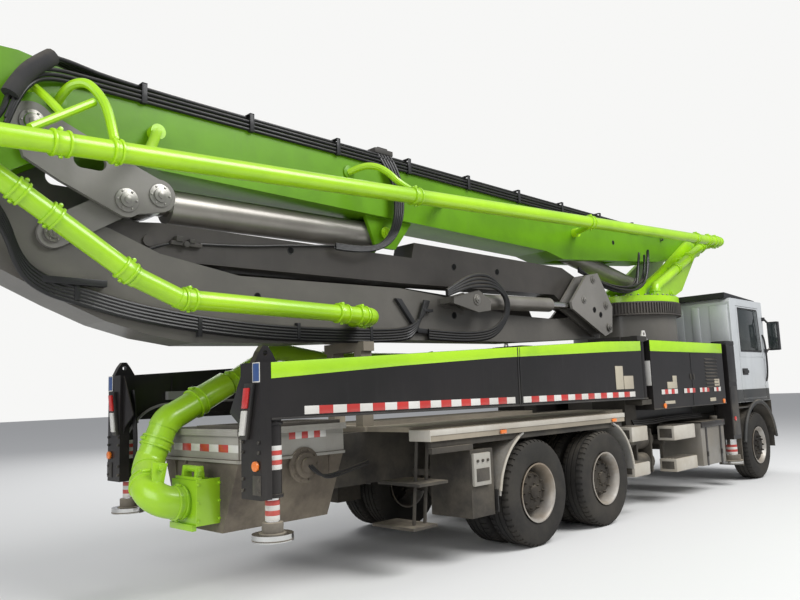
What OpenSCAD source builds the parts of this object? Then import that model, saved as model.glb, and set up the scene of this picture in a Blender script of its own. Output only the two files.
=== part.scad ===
// Truck-mounted concrete pump with a five-section placing boom, folded for the road.
// +X is the front of the truck, +Y its left side, Z = 0 the ground.
// Places along X are counted from the middle of the two rear axles.

/* [Chassis] */
// From the middle of the rear axles to the front axle
wheelbase = 5700; // [5600:10:5760]
// Between the two rear axles
tandem_gap = 1350; // [1320:5:1400]
// Radius of a tyre at its tread
tyre_r = 530; // [500:1:540]
// Width of one tyre
tyre_w = 300; // [280:1:310]
// Radius of a rim
rim_r = 292; // [270:1:300]
// Overall width of the truck body
body_w = 2500; // [2480:2:2550]
// Height of a frame rail
rail_h = 300; // [260:5:320]
// Outer faces of the two frame rails, across
rail_span = 860; // [820:2:870]

/* [Cab] */
// Length of the cab from its rear wall to its nose
cab_len = 1850; // [1800:5:1900]
// Height of the cab roof above the ground
cab_top = 2900; // [2850:5:2950]
// Thickness of the cab walls
cab_wall = 40; // [30:1:50]
// Gap around a closed door
door_gap = 8; // [6:1:12]

/* [Boom] */
// Width of the first boom section
boom1_w = 500; // [480:2:520]
// Depth of the first boom section
boom1_h = 640; // [610:5:650]
// Width of the second boom section
boom2_w = 380; // [360:2:390]
// Depth of the second boom section
boom2_h = 520; // [500:5:530]
// Width of the third boom section
boom3_w = 300; // [280:2:320]
// Depth of the third boom section
boom3_h = 380; // [360:5:390]
// Outer radius of the concrete pipe on the boom
pipe_r = 75; // [68:1:78]

/* [Slewing column] */
// Radius of the slewing ring
ring_r = 850; // [830:2:870]
// Top of the slewing ring above the ground
ring_top = 2800; // [2780:2:2820]

/* [Outriggers] */
// Length of a rear outrigger arm from its pivot to its leg
arm_len = 5700; // [5600:10:5750]
// Thickness of a rear outrigger arm, across the truck
arm_t = 190; // [170:2:200]
// Radius of a rear jack leg
leg_r = 52; // [48:1:56]
// Radius of a front jack leg
front_leg_r = 80; // [70:1:85]
// Radius of a jack leg's foot
foot_r = 150; // [130:1:160]

/* [Pump] */
// Width of the hopper at its rim
hopper_w = 1200; // [1180:5:1240]
// Thickness of the hopper's steel
hopper_t = 12; // [8:1:16]
// Radius of a delivery cylinder
cylinder_r = 140; // [120:1:145]

/* [Hidden] */
$fn = 48;

// Gap between pieces that seat on each other without being joined
seat = 0.3;
// Gap beside a piece that swings or slides past another
run = 6;
// Radial gap of a running pin
pin_gap = 0.05;

// Hopper: its ends along the truck, and its floor, shoulder and rim
hopper_x = [-3800, -2720];
hopper_z = [520, 1100, 1320];

// Driving places, X and Z
half_w = body_w / 2;
axle_z = tyre_r;
front_axle_x = wheelbase;
rear_axle_x = [tandem_gap / 2, -tandem_gap / 2];
rail_y = rail_span / 2;
rail_t = 80;
rail_web = 12;
rail_bottom = 750;
rail_top = rail_bottom + rail_h;
rail_rear_x = hopper_x[1] + seat;
cab_rear_x = 4860;
cab_front_x = cab_rear_x + cab_len;
rail_front_x = cab_front_x - 320;
sub_top = rail_top + 180;

// Boom pivots, X and Z, and the middle plane of the boom across the truck
boom_y = -100;
boom1_top = 4030;
boom1_low = boom1_top - boom1_h;
foot_pin = [5760, boom1_top - 60];
knee_pin = [-5900, boom1_low - 140];
elbow_pin = [2250, boom1_low - 690];
wrist_pin = [-4400, boom1_low - 540];
tip_pin = [1550, boom1_low - 830];
boom_pin_r = 70;
tail_x = knee_pin[0] - 280;
box_mid_x = (tail_x + cab_front_x + 40) / 2;
lift_foot = [4600, ring_top + 230];
lift_eye = [1700, boom1_low + 110];
lift_r = 125;
lift_rod_r = 80;
slew_x = 3700;

// Boom rest: its place along the truck and the height of its pad
rest_x = [-2260, -2120];
rest_z = boom1_low - 1295;

// Pump line
deck_pipe_y = 420;
deck_pipe_z = rest_z - 135;

// Helpers
module on_truck() {
    translate([-box_mid_x, 0, 0])
        children();
}

module both_sides() {
    children();
    mirror([0, 1, 0])
        children();
}

// A block from its low and high X, Y and Z
module block(x, y, z) {
    translate([x[0], y[0], z[0]])
        cube([x[1] - x[0], y[1] - y[0], z[1] - z[0]]);
}

// A plate with its outline in X and Z, from y_low to y_high
module side_plate(outline, y_low, y_high) {
    translate([0, y_high, 0])
        rotate([90, 0, 0])
            linear_extrude(height = y_high - y_low)
                polygon(outline);
}

// A round bar across the truck at [x, z]
module cross_bar(at, r, y_low, y_high) {
    translate([at[0], y_high, at[1]])
        rotate([90, 0, 0])
            cylinder(h = y_high - y_low, r = r);
}

// A round bar from point a to point b
module bar(a, b, r) {
    span = b - a;
    length = norm(span);
    translate(a)
        rotate([0, acos(span[2] / length), atan2(span[1], span[0])])
            cylinder(h = length, r = r);
}

function unit(v) = v / norm(v);
function turn_angle(a, b, c) = acos(unit(b - a) * unit(c - b));
function turn_trim(a, b, c, bend_r) = bend_r * tan(turn_angle(a, b, c) / 2);

// A round bend of a pipe at b, on its way from a to c
module pipe_bend(a, b, c, r, bend_r) {
    ahead = unit(b - a);
    away = unit(c - b);
    inward = unit(away - ahead * (ahead * away));
    middle = b - ahead * turn_trim(a, b, c, bend_r) + inward * bend_r;
    normal = cross(-inward, ahead);
    multmatrix([[-inward[0], ahead[0], normal[0], middle[0]],
                [-inward[1], ahead[1], normal[1], middle[1]],
                [-inward[2], ahead[2], normal[2], middle[2]],
                [0, 0, 0, 1]])
        rotate_extrude(angle = turn_angle(a, b, c))
            translate([bend_r, 0])
                circle(r = r + elbow_wall);
}

// An elbow is thicker than the pipe, which runs a little way into it
elbow_wall = 6;
elbow_grip = 12;

// A pipe through a list of points, with round bends
module pipe_route(points, r, bend_r) {
    last = len(points) - 1;
    for (i = [0 : last - 1]) {
        ahead = unit(points[i + 1] - points[i]);
        from = i == 0 ? 0 : turn_trim(points[i - 1], points[i], points[i + 1], bend_r);
        to = i == last - 1 ? 0 : turn_trim(points[i], points[i + 1], points[i + 2], bend_r);
        bar(points[i] + ahead * (from - (i == 0 ? 0 : elbow_grip)),
            points[i + 1] - ahead * (to - (i == last - 1 ? 0 : elbow_grip)), r);
    }
    for (i = [1 : last - 1])
        pipe_bend(points[i - 1], points[i], points[i + 1], r, bend_r);
}

// Chassis
// Cross members: place along the truck and top
cross_members = [[-2700, 870], [-2300, 870], [-465, 900 - seat], [0, 1010], [1500, 1010], [2700, 1010],
    [4300, 1010], [6200, 1010]];
pivot_x = 1820;
pivot_y = half_w - 130;
pivot_r = 110;
arm_low = 1390;
arm_high = 2130;
lug_t = 60;
pivot_pin_r = 50;
beam_h = 240;
beam_w = 260;
beam_z = [1240, 1540];
beam_span = [100, 1880];
housing_span = [440, 1870];
front_slide_angle = 12;
front_leg_x = 4650;
front_leg_y = half_w - 110;

module frame_rail() {
    difference() {
        block([rail_rear_x, rail_front_x], [rail_y - rail_t, rail_y], [rail_bottom, rail_top]);
        block([rail_rear_x - 1, rail_front_x + 1], [rail_y - rail_t - 1, rail_y - rail_web],
            [rail_bottom + rail_web, rail_top - rail_web]);
    }
}

module chassis_frame() {
    color("dimgray") on_truck() {
        both_sides() {
            frame_rail();
            block([rail_rear_x, 4700], [rail_y - rail_t, rail_y], [rail_top, sub_top]);
            // Pivot brackets of the rear outrigger arms
            block([pivot_x - 160, pivot_x + 130], [rail_y, pivot_y - pivot_r - run], [rail_bottom + 60, sub_top]);
            block([pivot_x - 160, pivot_x + 130], [540, pivot_y - pivot_r - run], [sub_top - 1, arm_high + 70]);
            for (z = [arm_low - lug_t - run, arm_high + run])
                difference() {
                    block([pivot_x - 130, pivot_x + 130], [pivot_y - pivot_r - run - 1, pivot_y + pivot_r],
                        [z, z + lug_t]);
                    translate([pivot_x, pivot_y, z - 1])
                        cylinder(h = lug_t + 2, r = pivot_pin_r);
                }
            translate([pivot_x, pivot_y, arm_low - lug_t - run - 10])
                cylinder(h = arm_high - arm_low + 2 * (lug_t + run) + 20, r = pivot_pin_r);
        }
        for (member = cross_members)
            block([member[0], member[0] + 90], [-rail_y + rail_web, rail_y - rail_web],
                [rail_bottom + 60, member[1]]);
        // Housing of the two front outrigger beams
        for (side = [0, 1])
            beam_housing(side);
    }
}

// The box that carries one front outrigger beam; side 0 is the right, side 1 the left
module beam_housing(side) {
    difference() {
        front_beam_body(side, 30, housing_span);
        front_beam_body(side, seat, [0, 2 * half_w]);
    }
}

// A front outrigger beam's body, grown by a wall, from one length inboard of the leg to another
module front_beam_body(side, grow, span) {
    y_sign = side == 0 ? -1 : 1;
    translate([front_leg_x, y_sign * front_leg_y, beam_z[side] - grow])
        rotate([0, 0, -y_sign * front_slide_angle])
            translate([-beam_w / 2 - grow, y_sign > 0 ? -span[1] : span[0], 0])
                cube([beam_w + 2 * grow, span[1] - span[0], beam_h + 2 * grow]);
}

module axles() {
    color("black") on_truck() {
        bar([front_axle_x, -760, axle_z - 60], [front_axle_x, 760, axle_z - 60], 60);
        both_sides() {
            // King pin bosses of the front axle
            translate([front_axle_x, king_y, axle_z - 120])
                cylinder(h = 120, r = 55);
            block([front_axle_x - 700, front_axle_x + 640], [350, 430], [rail_bottom - 130, rail_bottom - 90]);
            block([front_axle_x - 60, front_axle_x + 60], [350, 430], [axle_z - 60, rail_bottom - 90]);
            for (x = [front_axle_x - 690, front_axle_x + 560])
                block([x, x + 70], [350, 430], [rail_bottom - 130, rail_bottom - seat]);
        }
        for (x = rear_axle_x) {
            bar([x, -twin_in, axle_z], [x, twin_in, axle_z], 85);
            bar([x, -hub_inner, axle_z], [x, hub_inner, axle_z], 65);
            translate([x, 0, axle_z])
                sphere(r = 230);
        }
        both_sides() {
            block([-950, 950], [rail_y - 75, rail_y + 15], [rail_bottom - 110, rail_bottom - 50]);
            block([-110, 110], [rail_y - 90, rail_y + 30], [rail_bottom - 60, rail_bottom - seat]);
            for (x = rear_axle_x)
                block([x - 80, x + 80], [rail_y - 75, rail_y + 15], [axle_z - 20, rail_bottom - 100]);
        }
        bar([-tandem_gap / 2, 0, axle_z], [engine_x[0] - 3, 0, engine_low + 70], 55);
    }
}

engine_x = [5050, 6150];
engine_low = 620;

module engine() {
    color("gray") on_truck()
        block(engine_x, [-320, 320], [engine_low, cab_low - seat]);
}

// Wheels
king_y = 780;
front_wheel_y = 1045;
twin_out = half_w - 5;
twin_in = twin_out - 2 * tyre_w - 40;
tyre_bulge = 22;
hub_half = 60;

// Half a tyre's outline, radius and place across, mirrored by the revolve
module tyre(mid) {
    w = tyre_w / 2;
    rotate([90, 0, 0])
        rotate_extrude()
            polygon([[rim_r - 20, mid - w + 40], [rim_r + 30, mid - w + 6], [tyre_r - 110, mid - w],
                [tyre_r - 30, mid - w + tyre_bulge], [tyre_r, mid - w + 62],
                [tyre_r, mid + w - 62], [tyre_r - 30, mid + w - tyre_bulge],
                [tyre_r - 110, mid + w], [rim_r + 30, mid + w - 6], [rim_r - 20, mid + w - 40]]);
}

// A rim with its disc pushed in or out, and a hub
module rim(mid, disc, hub_from, hub_to) {
    w = tyre_w / 2;
    rotate([90, 0, 0]) {
        rotate_extrude()
            polygon([[rim_r - 40, mid - w + 10], [rim_r, mid - w + 10], [rim_r - 19, mid - w + 60],
                [rim_r - 19, mid + w - 60], [rim_r, mid + w - 10], [rim_r - 40, mid + w - 10]]);
        difference() {
            translate([0, 0, disc - 8])
                cylinder(h = 16, r = rim_r - 30);
            for (i = [0 : 9])
                rotate([0, 0, i * 36])
                    translate([rim_r - 90, 0, disc - 10])
                        cylinder(h = 20, r = 26);
        }
        translate([0, 0, min(hub_from, hub_to)])
            cylinder(h = abs(hub_to - hub_from), r = 95);
    }
}

// A front wheel: its disc stands close to the outer face
module front_wheel() {
    color("dimgray") union() {
        tyre(0);
        rim(0, 90, -hub_half, 140);
    }
}

// A twin rear wheel, outboard to -Y before it is placed
module twin_wheel() {
    half_gap = tyre_w / 2 + 20;
    color("dimgray") union() {
        tyre(-half_gap);
        tyre(half_gap);
        rim(-half_gap, -34, -hub_half, 0);
        rim(half_gap, 34, -1, 200);
    }
}

module wheel_at(x, y) {
    on_truck()
        translate([x, y, axle_z])
            children();
}

module wheel_front_left() {
    wheel_at(front_axle_x, front_wheel_y)
        mirror([0, 1, 0])
            front_wheel();
}

module wheel_front_right() {
    wheel_at(front_axle_x, -front_wheel_y)
        front_wheel();
}

twin_mid = (twin_out + twin_in) / 2;
hub_inner = twin_mid - hub_half - seat;

module wheel_middle_left() {
    wheel_at(rear_axle_x[0], twin_mid)
        mirror([0, 1, 0])
            twin_wheel();
}

module wheel_middle_right() {
    wheel_at(rear_axle_x[0], -twin_mid)
        twin_wheel();
}

module wheel_rear_left() {
    wheel_at(rear_axle_x[1], twin_mid)
        mirror([0, 1, 0])
            twin_wheel();
}

module wheel_rear_right() {
    wheel_at(rear_axle_x[1], -twin_mid)
        twin_wheel();
}

// The steering knuckle of the left wheel
module knuckle() {
    color("black") on_truck() {
        for (z = [axle_z - 120 - seat - 40, axle_z + seat])
            translate([front_axle_x, king_y, z])
                cylinder(h = 40, r = 60);
        block([front_axle_x - 50, front_axle_x + 50], [king_y + 56, king_y + 90],
            [axle_z - 120 - seat - 40, axle_z + seat + 40]);
        translate([front_axle_x, king_y + 80, axle_z])
            rotate([-90, 0, 0])
                cylinder(h = front_wheel_y - 60 - king_y - 80 - seat, r = 60);
    }
}

module knuckle_left() {
    knuckle();
}

module knuckle_right() {
    mirror([0, 1, 0])
        knuckle();
}

// Cab, drawn as an outer body less an inner one
cab_low = 1240;
door_x = [5120, 6150];
door_low = 1300;
door_high = 2780;
belt_z = 2070;
window_x = [5200, 6080];
window_high = 2740;
nose_rise = cab_top - 80;

function cab_outline(inset) = [
    [cab_rear_x + inset, cab_low + inset], [cab_front_x - inset, cab_low + inset],
    [cab_front_x - inset, 1900], [cab_front_x - 230 - inset, nose_rise - inset],
    [cab_front_x - 420 - inset, cab_top - inset], [cab_rear_x + 60 + inset, cab_top - inset],
    [cab_rear_x + inset, cab_top - 60 - inset]];

function cab_plan(inset) = [
    [cab_rear_x + inset, -half_w + 30 + inset], [cab_front_x - 420, -half_w + 30 + inset],
    [cab_front_x - 110 - inset, -half_w + 190 + inset], [cab_front_x - inset, -half_w + 520],
    [cab_front_x - inset, half_w - 520], [cab_front_x - 110 - inset, half_w - 190 - inset],
    [cab_front_x - 420, half_w - 30 - inset], [cab_rear_x + inset, half_w - 30 - inset]];

module cab_body(inset) {
    intersection() {
        side_plate(cab_outline(inset), -half_w, half_w);
        translate([0, 0, cab_low - 10])
            linear_extrude(height = cab_top)
                polygon(cab_plan(inset));
    }
}

module cab_skin() {
    difference() {
        cab_body(0);
        cab_body(cab_wall);
    }
}

// The outline of a door on the cab's side, grown outwards
module door_shape(grow) {
    side_plate([[door_x[0] - grow, door_low - grow], [door_x[1] + grow, door_low - grow],
        [door_x[1] + grow, belt_z], [door_x[1] - 60 + grow, door_high + grow],
        [door_x[0] - grow, door_high + grow]], half_w - 320, half_w + 10);
}

module door_window() {
    side_plate([[window_x[0], belt_z], [window_x[1], belt_z],
        [window_x[1] - 60, window_high], [window_x[0], window_high]], half_w - 320, half_w + 20);
}

module windscreen_cut(grow) {
    translate([0, -half_w + 170 - grow, 0])
        rotate([90, 0, 0])
            mirror([0, 0, 1])
                linear_extrude(height = body_w - 340 + 2 * grow)
                    polygon([[cab_front_x - 330, 1960 - grow], [cab_front_x + 60, 1960 - grow],
                        [cab_front_x - 100, nose_rise - 60 + grow], [cab_front_x - 330, nose_rise - 60 + grow]]);
}

hinge_x = door_x[1] + door_gap / 2;
hinge_y = half_w - 30 + 9;
hinge_r = 8;
hinge_z = [1480, 1960];
hinge_h = 36;

// One hinge's leaf and barrel: part 0 is on the door, part 1 above and below it on the pillar
module door_hinges(part) {
    for (z = hinge_z) {
        leaf = part == 0 ? [hinge_x - 44, hinge_x] : [hinge_x, hinge_x + 44];
        for (low = part == 0 ? [z] : [z - hinge_h - seat, z + hinge_h + seat]) {
            translate([hinge_x, hinge_y, low])
                cylinder(h = hinge_h, r = hinge_r);
            block(leaf, [half_w - 31, half_w - 25], [low, low + hinge_h]);
        }
    }
}

module cab_shell() {
    color("silver") on_truck() {
        both_sides()
            door_hinges(1);
        difference() {
            cab_skin();
            both_sides()
                door_shape(door_gap);
            windscreen_cut(0);
            block([cab_rear_x - 10, cab_rear_x + cab_wall + 10], [-400, 400], [2150, 2600]);
            both_sides()
                translate([front_axle_x, 0, axle_z])
                    rotate([-90, 0, 0])
                        cylinder(h = half_w, r = tyre_r + 180 + seat);
        }
    }
}

module cab_glass() {
    color("darkslategray") on_truck() {
        intersection() {
            difference() {
                cab_body(14);
                cab_body(24);
            }
            windscreen_cut(-seat);
        }
        block([cab_rear_x + 14, cab_rear_x + 24], [-400 + seat, 400 - seat], [2150 + seat, 2600 - seat]);
    }
}

module cab_interior() {
    color("darkgray") on_truck() {
        block([cab_rear_x + cab_wall + seat, cab_front_x - 300], [-850, 850], [cab_low + cab_wall + seat, 1330]);
        for (y = [-480, 480]) {
            block([5250, 5750], [y - 240, y + 240], [1330, 1720]);
            side_plate([[5130, 1700], [5260, 1700], [5200, 2350], [5080, 2350]], y - 230, y + 230);
        }
        block([6180, cab_front_x - 300], [-900, 900], [1330, 1900]);
        bar([6200, 480, 1727], [6020, 480, 1990], 25);
        translate([6020, 480, 1990])
            rotate([0, -34, 0])
                difference() {
                    cylinder(h = 30, r = 225);
                    translate([0, 0, -1])
                        cylinder(h = 32, r = 195);
                }
        translate([6020, 480, 1990])
            rotate([0, -34, 0])
                block([-20, 20], [-200, 200], [0, 28]);
    }
}

module door() {
    color("silver") on_truck() {
        door_hinges(0);
        difference() {
            intersection() {
                cab_skin();
                door_shape(0);
            }
            door_window();
        }
        intersection() {
            difference() {
                cab_body(12);
                cab_body(20);
            }
            side_plate([[window_x[0] - 1, belt_z - 1], [window_x[1] + 1, belt_z - 1],
                [window_x[1] - 59, window_high + 1], [window_x[0] - 1, window_high + 1]],
                half_w - 320, half_w + 10);
        }
    }
}

module door_left() {
    door();
}

module door_right() {
    mirror([0, 1, 0])
        door();
}

mudguard_x = 4855;
mudguard_top = 1150;

module front_bumper() {
    color("dimgray") on_truck() {
        difference() {
            intersection() {
                block([cab_front_x - 380, cab_front_x + 40], [-half_w + 30, half_w - 30], [470, cab_low - seat]);
                translate([40, 0, 400])
                    linear_extrude(height = 900)
                        polygon(cab_plan(0));
            }
            block([cab_front_x - 400, cab_front_x - 60], [-half_w + 200, half_w - 200], [400, cab_low + 10]);
            block([cab_front_x - 20, cab_front_x + 50], [-420, 420], [880, 1080]);
        }
        block([rail_front_x + seat, cab_front_x - 40], [-rail_y, rail_y], [rail_bottom + 40, rail_top - 60]);
        // Roof deflector
        side_plate([[cab_rear_x - 60, cab_top + seat], [cab_front_x - 620, cab_top + seat],
            [cab_front_x - 620, cab_top + 22], [cab_rear_x - 60, cab_top + 85]], -half_w + 70, half_w - 70);
        // Wheel arches, with a mudguard behind each wheel
        both_sides() {
            block([mudguard_x, mudguard_x + 20], [half_w - 400, half_w - 30], [280, mudguard_top]);
            block([mudguard_x, front_axle_x - 300], [half_w - 400, half_w - 30], [mudguard_top - 1, mudguard_top + 20]);
            difference() {
                translate([front_axle_x, half_w - 250, axle_z])
                    rotate([-90, 0, 0])
                        cylinder(h = 240, r = tyre_r + 180);
                translate([front_axle_x, half_w - 260, axle_z])
                    rotate([-90, 0, 0])
                        cylinder(h = 260, r = tyre_r + 140);
                block([front_axle_x - 800, front_axle_x + 800], [half_w - 300, half_w + 50], [-300, 640]);
            }
        }
    }
}

module mirrors() {
    color("black") on_truck()
        both_sides() {
            block([6330, 6420], [half_w + 20, half_w + 190], [2080, 2560]);
            for (z = [2070, 2610])
                block([6240, 6290], [half_w - 30 + seat, half_w + 12], [z - 30, z + 30]);
            bar([6265, half_w + 4, 2610], [6370, half_w + 60, 2500], 16);
            bar([6265, half_w + 4, 2070], [6370, half_w + 60, 2130], 16);
        }
}

// Slewing column
neck_z = 2165;

module pedestal() {
    color("gray") on_truck() {
        difference() {
            union() {
                side_plate([[2830, sub_top + seat], [4020, sub_top + seat], [4020, 1840], [4360, 2150],
                    [4360, 2200], [2900, 2200], [2830, 2000]], -560, 560);
                translate([slew_x, 0, neck_z])
                    cylinder(h = ring_top - 180 - neck_z, r = ring_r - 60);
                translate([slew_x, 0, ring_top - 200])
                    cylinder(h = 40, r = ring_r - 30);
            }
        }
        color("black")
            translate([slew_x, 0, ring_top - 180])
                cylinder(h = 180, r = ring_r - 10);
    }
}

cabinet_x = [1970, 4320];
cabinet_y = 800;
cabinet_z = [1250, 2150];

module cabinets() {
    color("dimgray") on_truck()
        both_sides() {
            difference() {
                block(cabinet_x, [cabinet_y, half_w], cabinet_z);
                for (i = [0 : 8])
                    block([3650, 4080], [half_w - 8, half_w + 1], [1500 + i * 50, 1524 + i * 50]);
            }
            block([cabinet_x[0], 3900], [rail_y + seat, 900], [rail_top + 40, sub_top - 5]);
            block([cabinet_x[0], 3900], [cabinet_y, 900], [sub_top - 6, cabinet_z[0] + 1]);
        }
}

deck_x = [-2285, 1170];
deck_edge_z = [1150, 1245];

module deck() {
    color("tan") on_truck() {
        both_sides() {
            block(deck_x, [half_w - 250, half_w], deck_edge_z);
            block([deck_x[0], 1600], [rail_y - 60, half_w - 249], [sub_top + seat, sub_top + 45]);
        }
        block([rest_x[0] - 60, rest_x[1] + 60], [-rail_y - 20, rail_y + 20], [sub_top + seat, sub_top + 45]);
        // Boom rest
        for (y = [-260, 160])
            block(rest_x, [boom_y + y, boom_y + y + 100], [sub_top + 44, rest_z - 90]);
        block(rest_x, [boom_y - 300, boom_y + 300], [rest_z - 91, rest_z - seat]);
    }
}

// The rear fenders' arcs, from just above the axle up to the walkway
fender_r = [tyre_r + 112, tyre_r + 130];
fender_from = 4;
fender_to = asin((deck_edge_z[0] - seat - axle_z) / fender_r[1]);

module fender() {
    translate([rear_axle_x[0], half_w, axle_z])
        rotate([90, 0, 0])
            rotate([0, 0, fender_from])
                rotate_extrude(angle = fender_to - fender_from)
                    translate([fender_r[0], 0])
                        square([fender_r[1] - fender_r[0], half_w - twin_in + 20]);
}

module fenders() {
    color("silver") on_truck()
        both_sides() {
            fender();
            mirror([1, 0, 0])
                fender();
        }
}

// Steps ahead of the rear wheels: from X, to X, from Z, to Z
steps = [[1350, 1750, 470, 620], [1350, 1750, 890, 1060], [2500, 3150, 420, 580], [2500, 3150, 830, 1010]];
// Treads of the ladder behind the rear wheels: from X, to X, inner Y, outer Y, Z
ladder_treads = [[-2410, -2040, 700, 1220, 800], [-2400, -2090, 600, 1120, 420]];
locker_x = [-1700, -1370];
tank_x = [3400, 4200];

module side_gear() {
    color("gray") on_truck() {
        both_sides() {
            block(locker_x, [700, half_w - 50], [410, 1030]);
            block(tank_x, [600, half_w - 30], [410, 1000]);
            for (step = steps)
                block([step[0], step[1]], [half_w - 240, half_w - 10], [step[2], step[3]]);
            for (i = [0, 2])
                block([steps[i][0] + 60, steps[i][0] + 100], [half_w - 260, half_w - 220],
                    [steps[i][2] + 40, steps[i + 1][3]]);
            for (tread = ladder_treads)
                block([tread[0], tread[1]], [tread[2], tread[3]], [tread[4] - 25, tread[4]]);
            // Braces of the ladder, from the walkway to the lower tread
            for (x = [-2270, -2130])
                bar([x, half_w - 180, deck_edge_z[0] - 2], [x, 1000, 405], 16);
            for (x = [locker_x[0] + 20, locker_x[1] - 60, steps[0][0] + 60, steps[2][0] + 60, tank_x[0] + 100, tank_x[1] - 140])
                block([x, x + 40], [rail_y + seat, half_w - 200], [rail_bottom + 20, rail_bottom + 80]);
        }
    }
}

module pump_unit() {
    color("gray") on_truck() {
        for (y = [-170, 170]) {
            bar([-2700, y, 1010], [-600, y, 1090], cylinder_r);
            bar([-560, y, 1092], [1350, y, 1160], 80);
        }
        block([-640, -200], [-325, 325], [900, 1145]);
    }
}

function hopper_outline(inset) = [
    [-hopper_w / 2 + inset, hopper_z[2] + (inset > 0 ? 10 : 0)], [-hopper_w / 2 + inset, hopper_z[1]],
    [-350 + inset, hopper_z[0] + inset], [350 - inset, hopper_z[0] + inset],
    [hopper_w / 2 - inset, hopper_z[1]], [hopper_w / 2 - inset, hopper_z[2] + (inset > 0 ? 10 : 0)]];

module hopper_block(inset) {
    translate([hopper_x[0] + inset, 0, 0])
        rotate([90, 0, 90])
            linear_extrude(height = hopper_x[1] - hopper_x[0] - 2 * inset)
                polygon(hopper_outline(inset));
}

module hopper() {
    color("tan") on_truck() {
        difference() {
            hopper_block(0);
            hopper_block(hopper_t);
        }
    }
}

grate_y = [-570, 60];

module hopper_grate() {
    color("black") on_truck() {
        difference() {
            block([hopper_x[0] + 10, hopper_x[1] - 10], grate_y, [hopper_z[2] + seat, hopper_z[2] + 50]);
            block([hopper_x[0] + 50, hopper_x[1] - 50], [grate_y[0] + 40, grate_y[1] - 40],
                [hopper_z[2] - 10, hopper_z[2] + 60]);
        }
        for (i = [1 : 10])
            block([hopper_x[0] + 20 + i * 90, hopper_x[0] + 32 + i * 90], [grate_y[0] + 39, grate_y[1] - 39],
                [hopper_z[2] + 6, hopper_z[2] + 46]);
    }
}

module delivery_line() {
    color("yellowgreen") on_truck() {
        difference() {
            block([hopper_x[0] - 200, hopper_x[0] - seat], [-300, 100], [610, 950]);
            block([hopper_x[0] - 150, hopper_x[0] - 50], [-310, -230], [650, 900]);
        }
        pipe_route([[hopper_x[0] - 190, -100, 770], [-4330, -100, 790], [-4100, 330, 1050], [-3935, 330, 1420],
            [-3300, 400, 1720]], 120, 180);
        pipe_route([[-3310, 399, 1715], [-2700, deck_pipe_y, deck_pipe_z + 90], [-2100, deck_pipe_y, deck_pipe_z],
            [2800 - seat, deck_pipe_y, deck_pipe_z]], 85, 300);
    }
}

// Turret on the slewing ring
module turret() {
    color("yellowgreen") on_truck() {
        translate([slew_x, 0, ring_top + seat])
            cylinder(h = 90, r = ring_r);
        for (y = [boom_y - boom1_w / 2 - run - 60, boom_y + boom1_w / 2 + run]) {
            difference() {
                union() {
                    side_plate([[2950, ring_top + 60], [4600, ring_top + 60], [4700, ring_top + 200], [5020, ring_top + 320],
                        foot_pin + [-150, -260], foot_pin + [185, 20], foot_pin + [0, 190], foot_pin + [-430, 13],
                        [4300, ring_top + 610], [3600, ring_top + 280]], y, y + 60);
                    cross_bar(foot_pin, 190, y, y + 60);
                    cross_bar(lift_foot, 120, y, y + 60);
                }
                cross_bar(foot_pin, boom_pin_r, y - 1, y + 61);
            }
        }
        // Back plate between the two side plates
        side_plate([[4870, ring_top + 320], [5110, ring_top + 522], [5090, ring_top + 550], [4850, ring_top + 350]],
            boom_y - boom1_w / 2 - run - 1, boom_y + boom1_w / 2 + run + 1);
        cross_bar(lift_foot, 60 - pin_gap, boom_y - boom1_w / 2 - run - 60, boom_y + boom1_w / 2 + run + 60);
        // Concrete pipe from the middle of the ring to the swivel on the foot pin's line
        pipe_route([[slew_x + 50, riser_y, ring_top + 80], [slew_x + 50, riser_y, ring_top + 260],
            [foot_pin[0], riser_y, foot_pin[1]], [foot_pin[0], foot_swivel_y, foot_pin[1]]], pipe_r, 110);
        bar([4950, boom_y - boom1_w / 2 - run - 59, foot_pin[1] - 330], [4950, riser_y, foot_pin[1] - 330], 30);
    }
}

// The riser's plane on the turret, and the swivels between the pipes at the foot and at the knee
riser_y = -540;
foot_swivel_y = -665;
knee_swivel_y = -735;

// Lift cylinder: barrel on the turret, rod towards the first section
lift_len = norm(lift_eye - lift_foot);
lift_angle = atan2(lift_eye[1] - lift_foot[1], lift_eye[0] - lift_foot[0]);

// Draws along +X from the foot pin, then turns it onto the cylinder's line
module along_cylinder(foot, angle) {
    translate([foot[0], boom_y, foot[1]])
        rotate([0, -angle, 0])
            children();
}

module cylinder_barrel(foot, angle, length, r, bore_r, pin_r, eye_w) {
    along_cylinder(foot, angle) {
        difference() {
            union() {
                translate([r * 0.8, 0, 0])
                    rotate([0, 90, 0])
                        cylinder(h = length - r * 0.8, r = r);
                translate([0, eye_w / 2, 0])
                    rotate([90, 0, 0])
                        cylinder(h = eye_w, r = r);
            }
            translate([0, eye_w / 2 + 1, 0])
                rotate([90, 0, 0])
                    cylinder(h = eye_w + 2, r = pin_r);
            translate([r * 1.6, 0, 0])
                rotate([0, 90, 0])
                    cylinder(h = length, r = bore_r);
        }
    }
}

module cylinder_rod(foot, angle, from, length, r, eye_r, eye_w) {
    along_cylinder(foot, angle) {
        translate([from, 0, 0])
            rotate([0, 90, 0])
                cylinder(h = length - from - eye_r * 0.6, r = r);
        translate([length, eye_w / 2, 0])
            rotate([90, 0, 0])
                cylinder(h = eye_w, r = eye_r);
    }
}

module lift_barrel() {
    color("dimgray") on_truck()
        cylinder_barrel(lift_foot, lift_angle, lift_len - 260, lift_r, lift_rod_r + seat, 60, 220);
}

module lift_rod() {
    color("silver") on_truck()
        cylinder_rod(lift_foot, lift_angle, lift_r * 1.6 + 40, lift_len, lift_rod_r, 110, 256);
}

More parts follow.
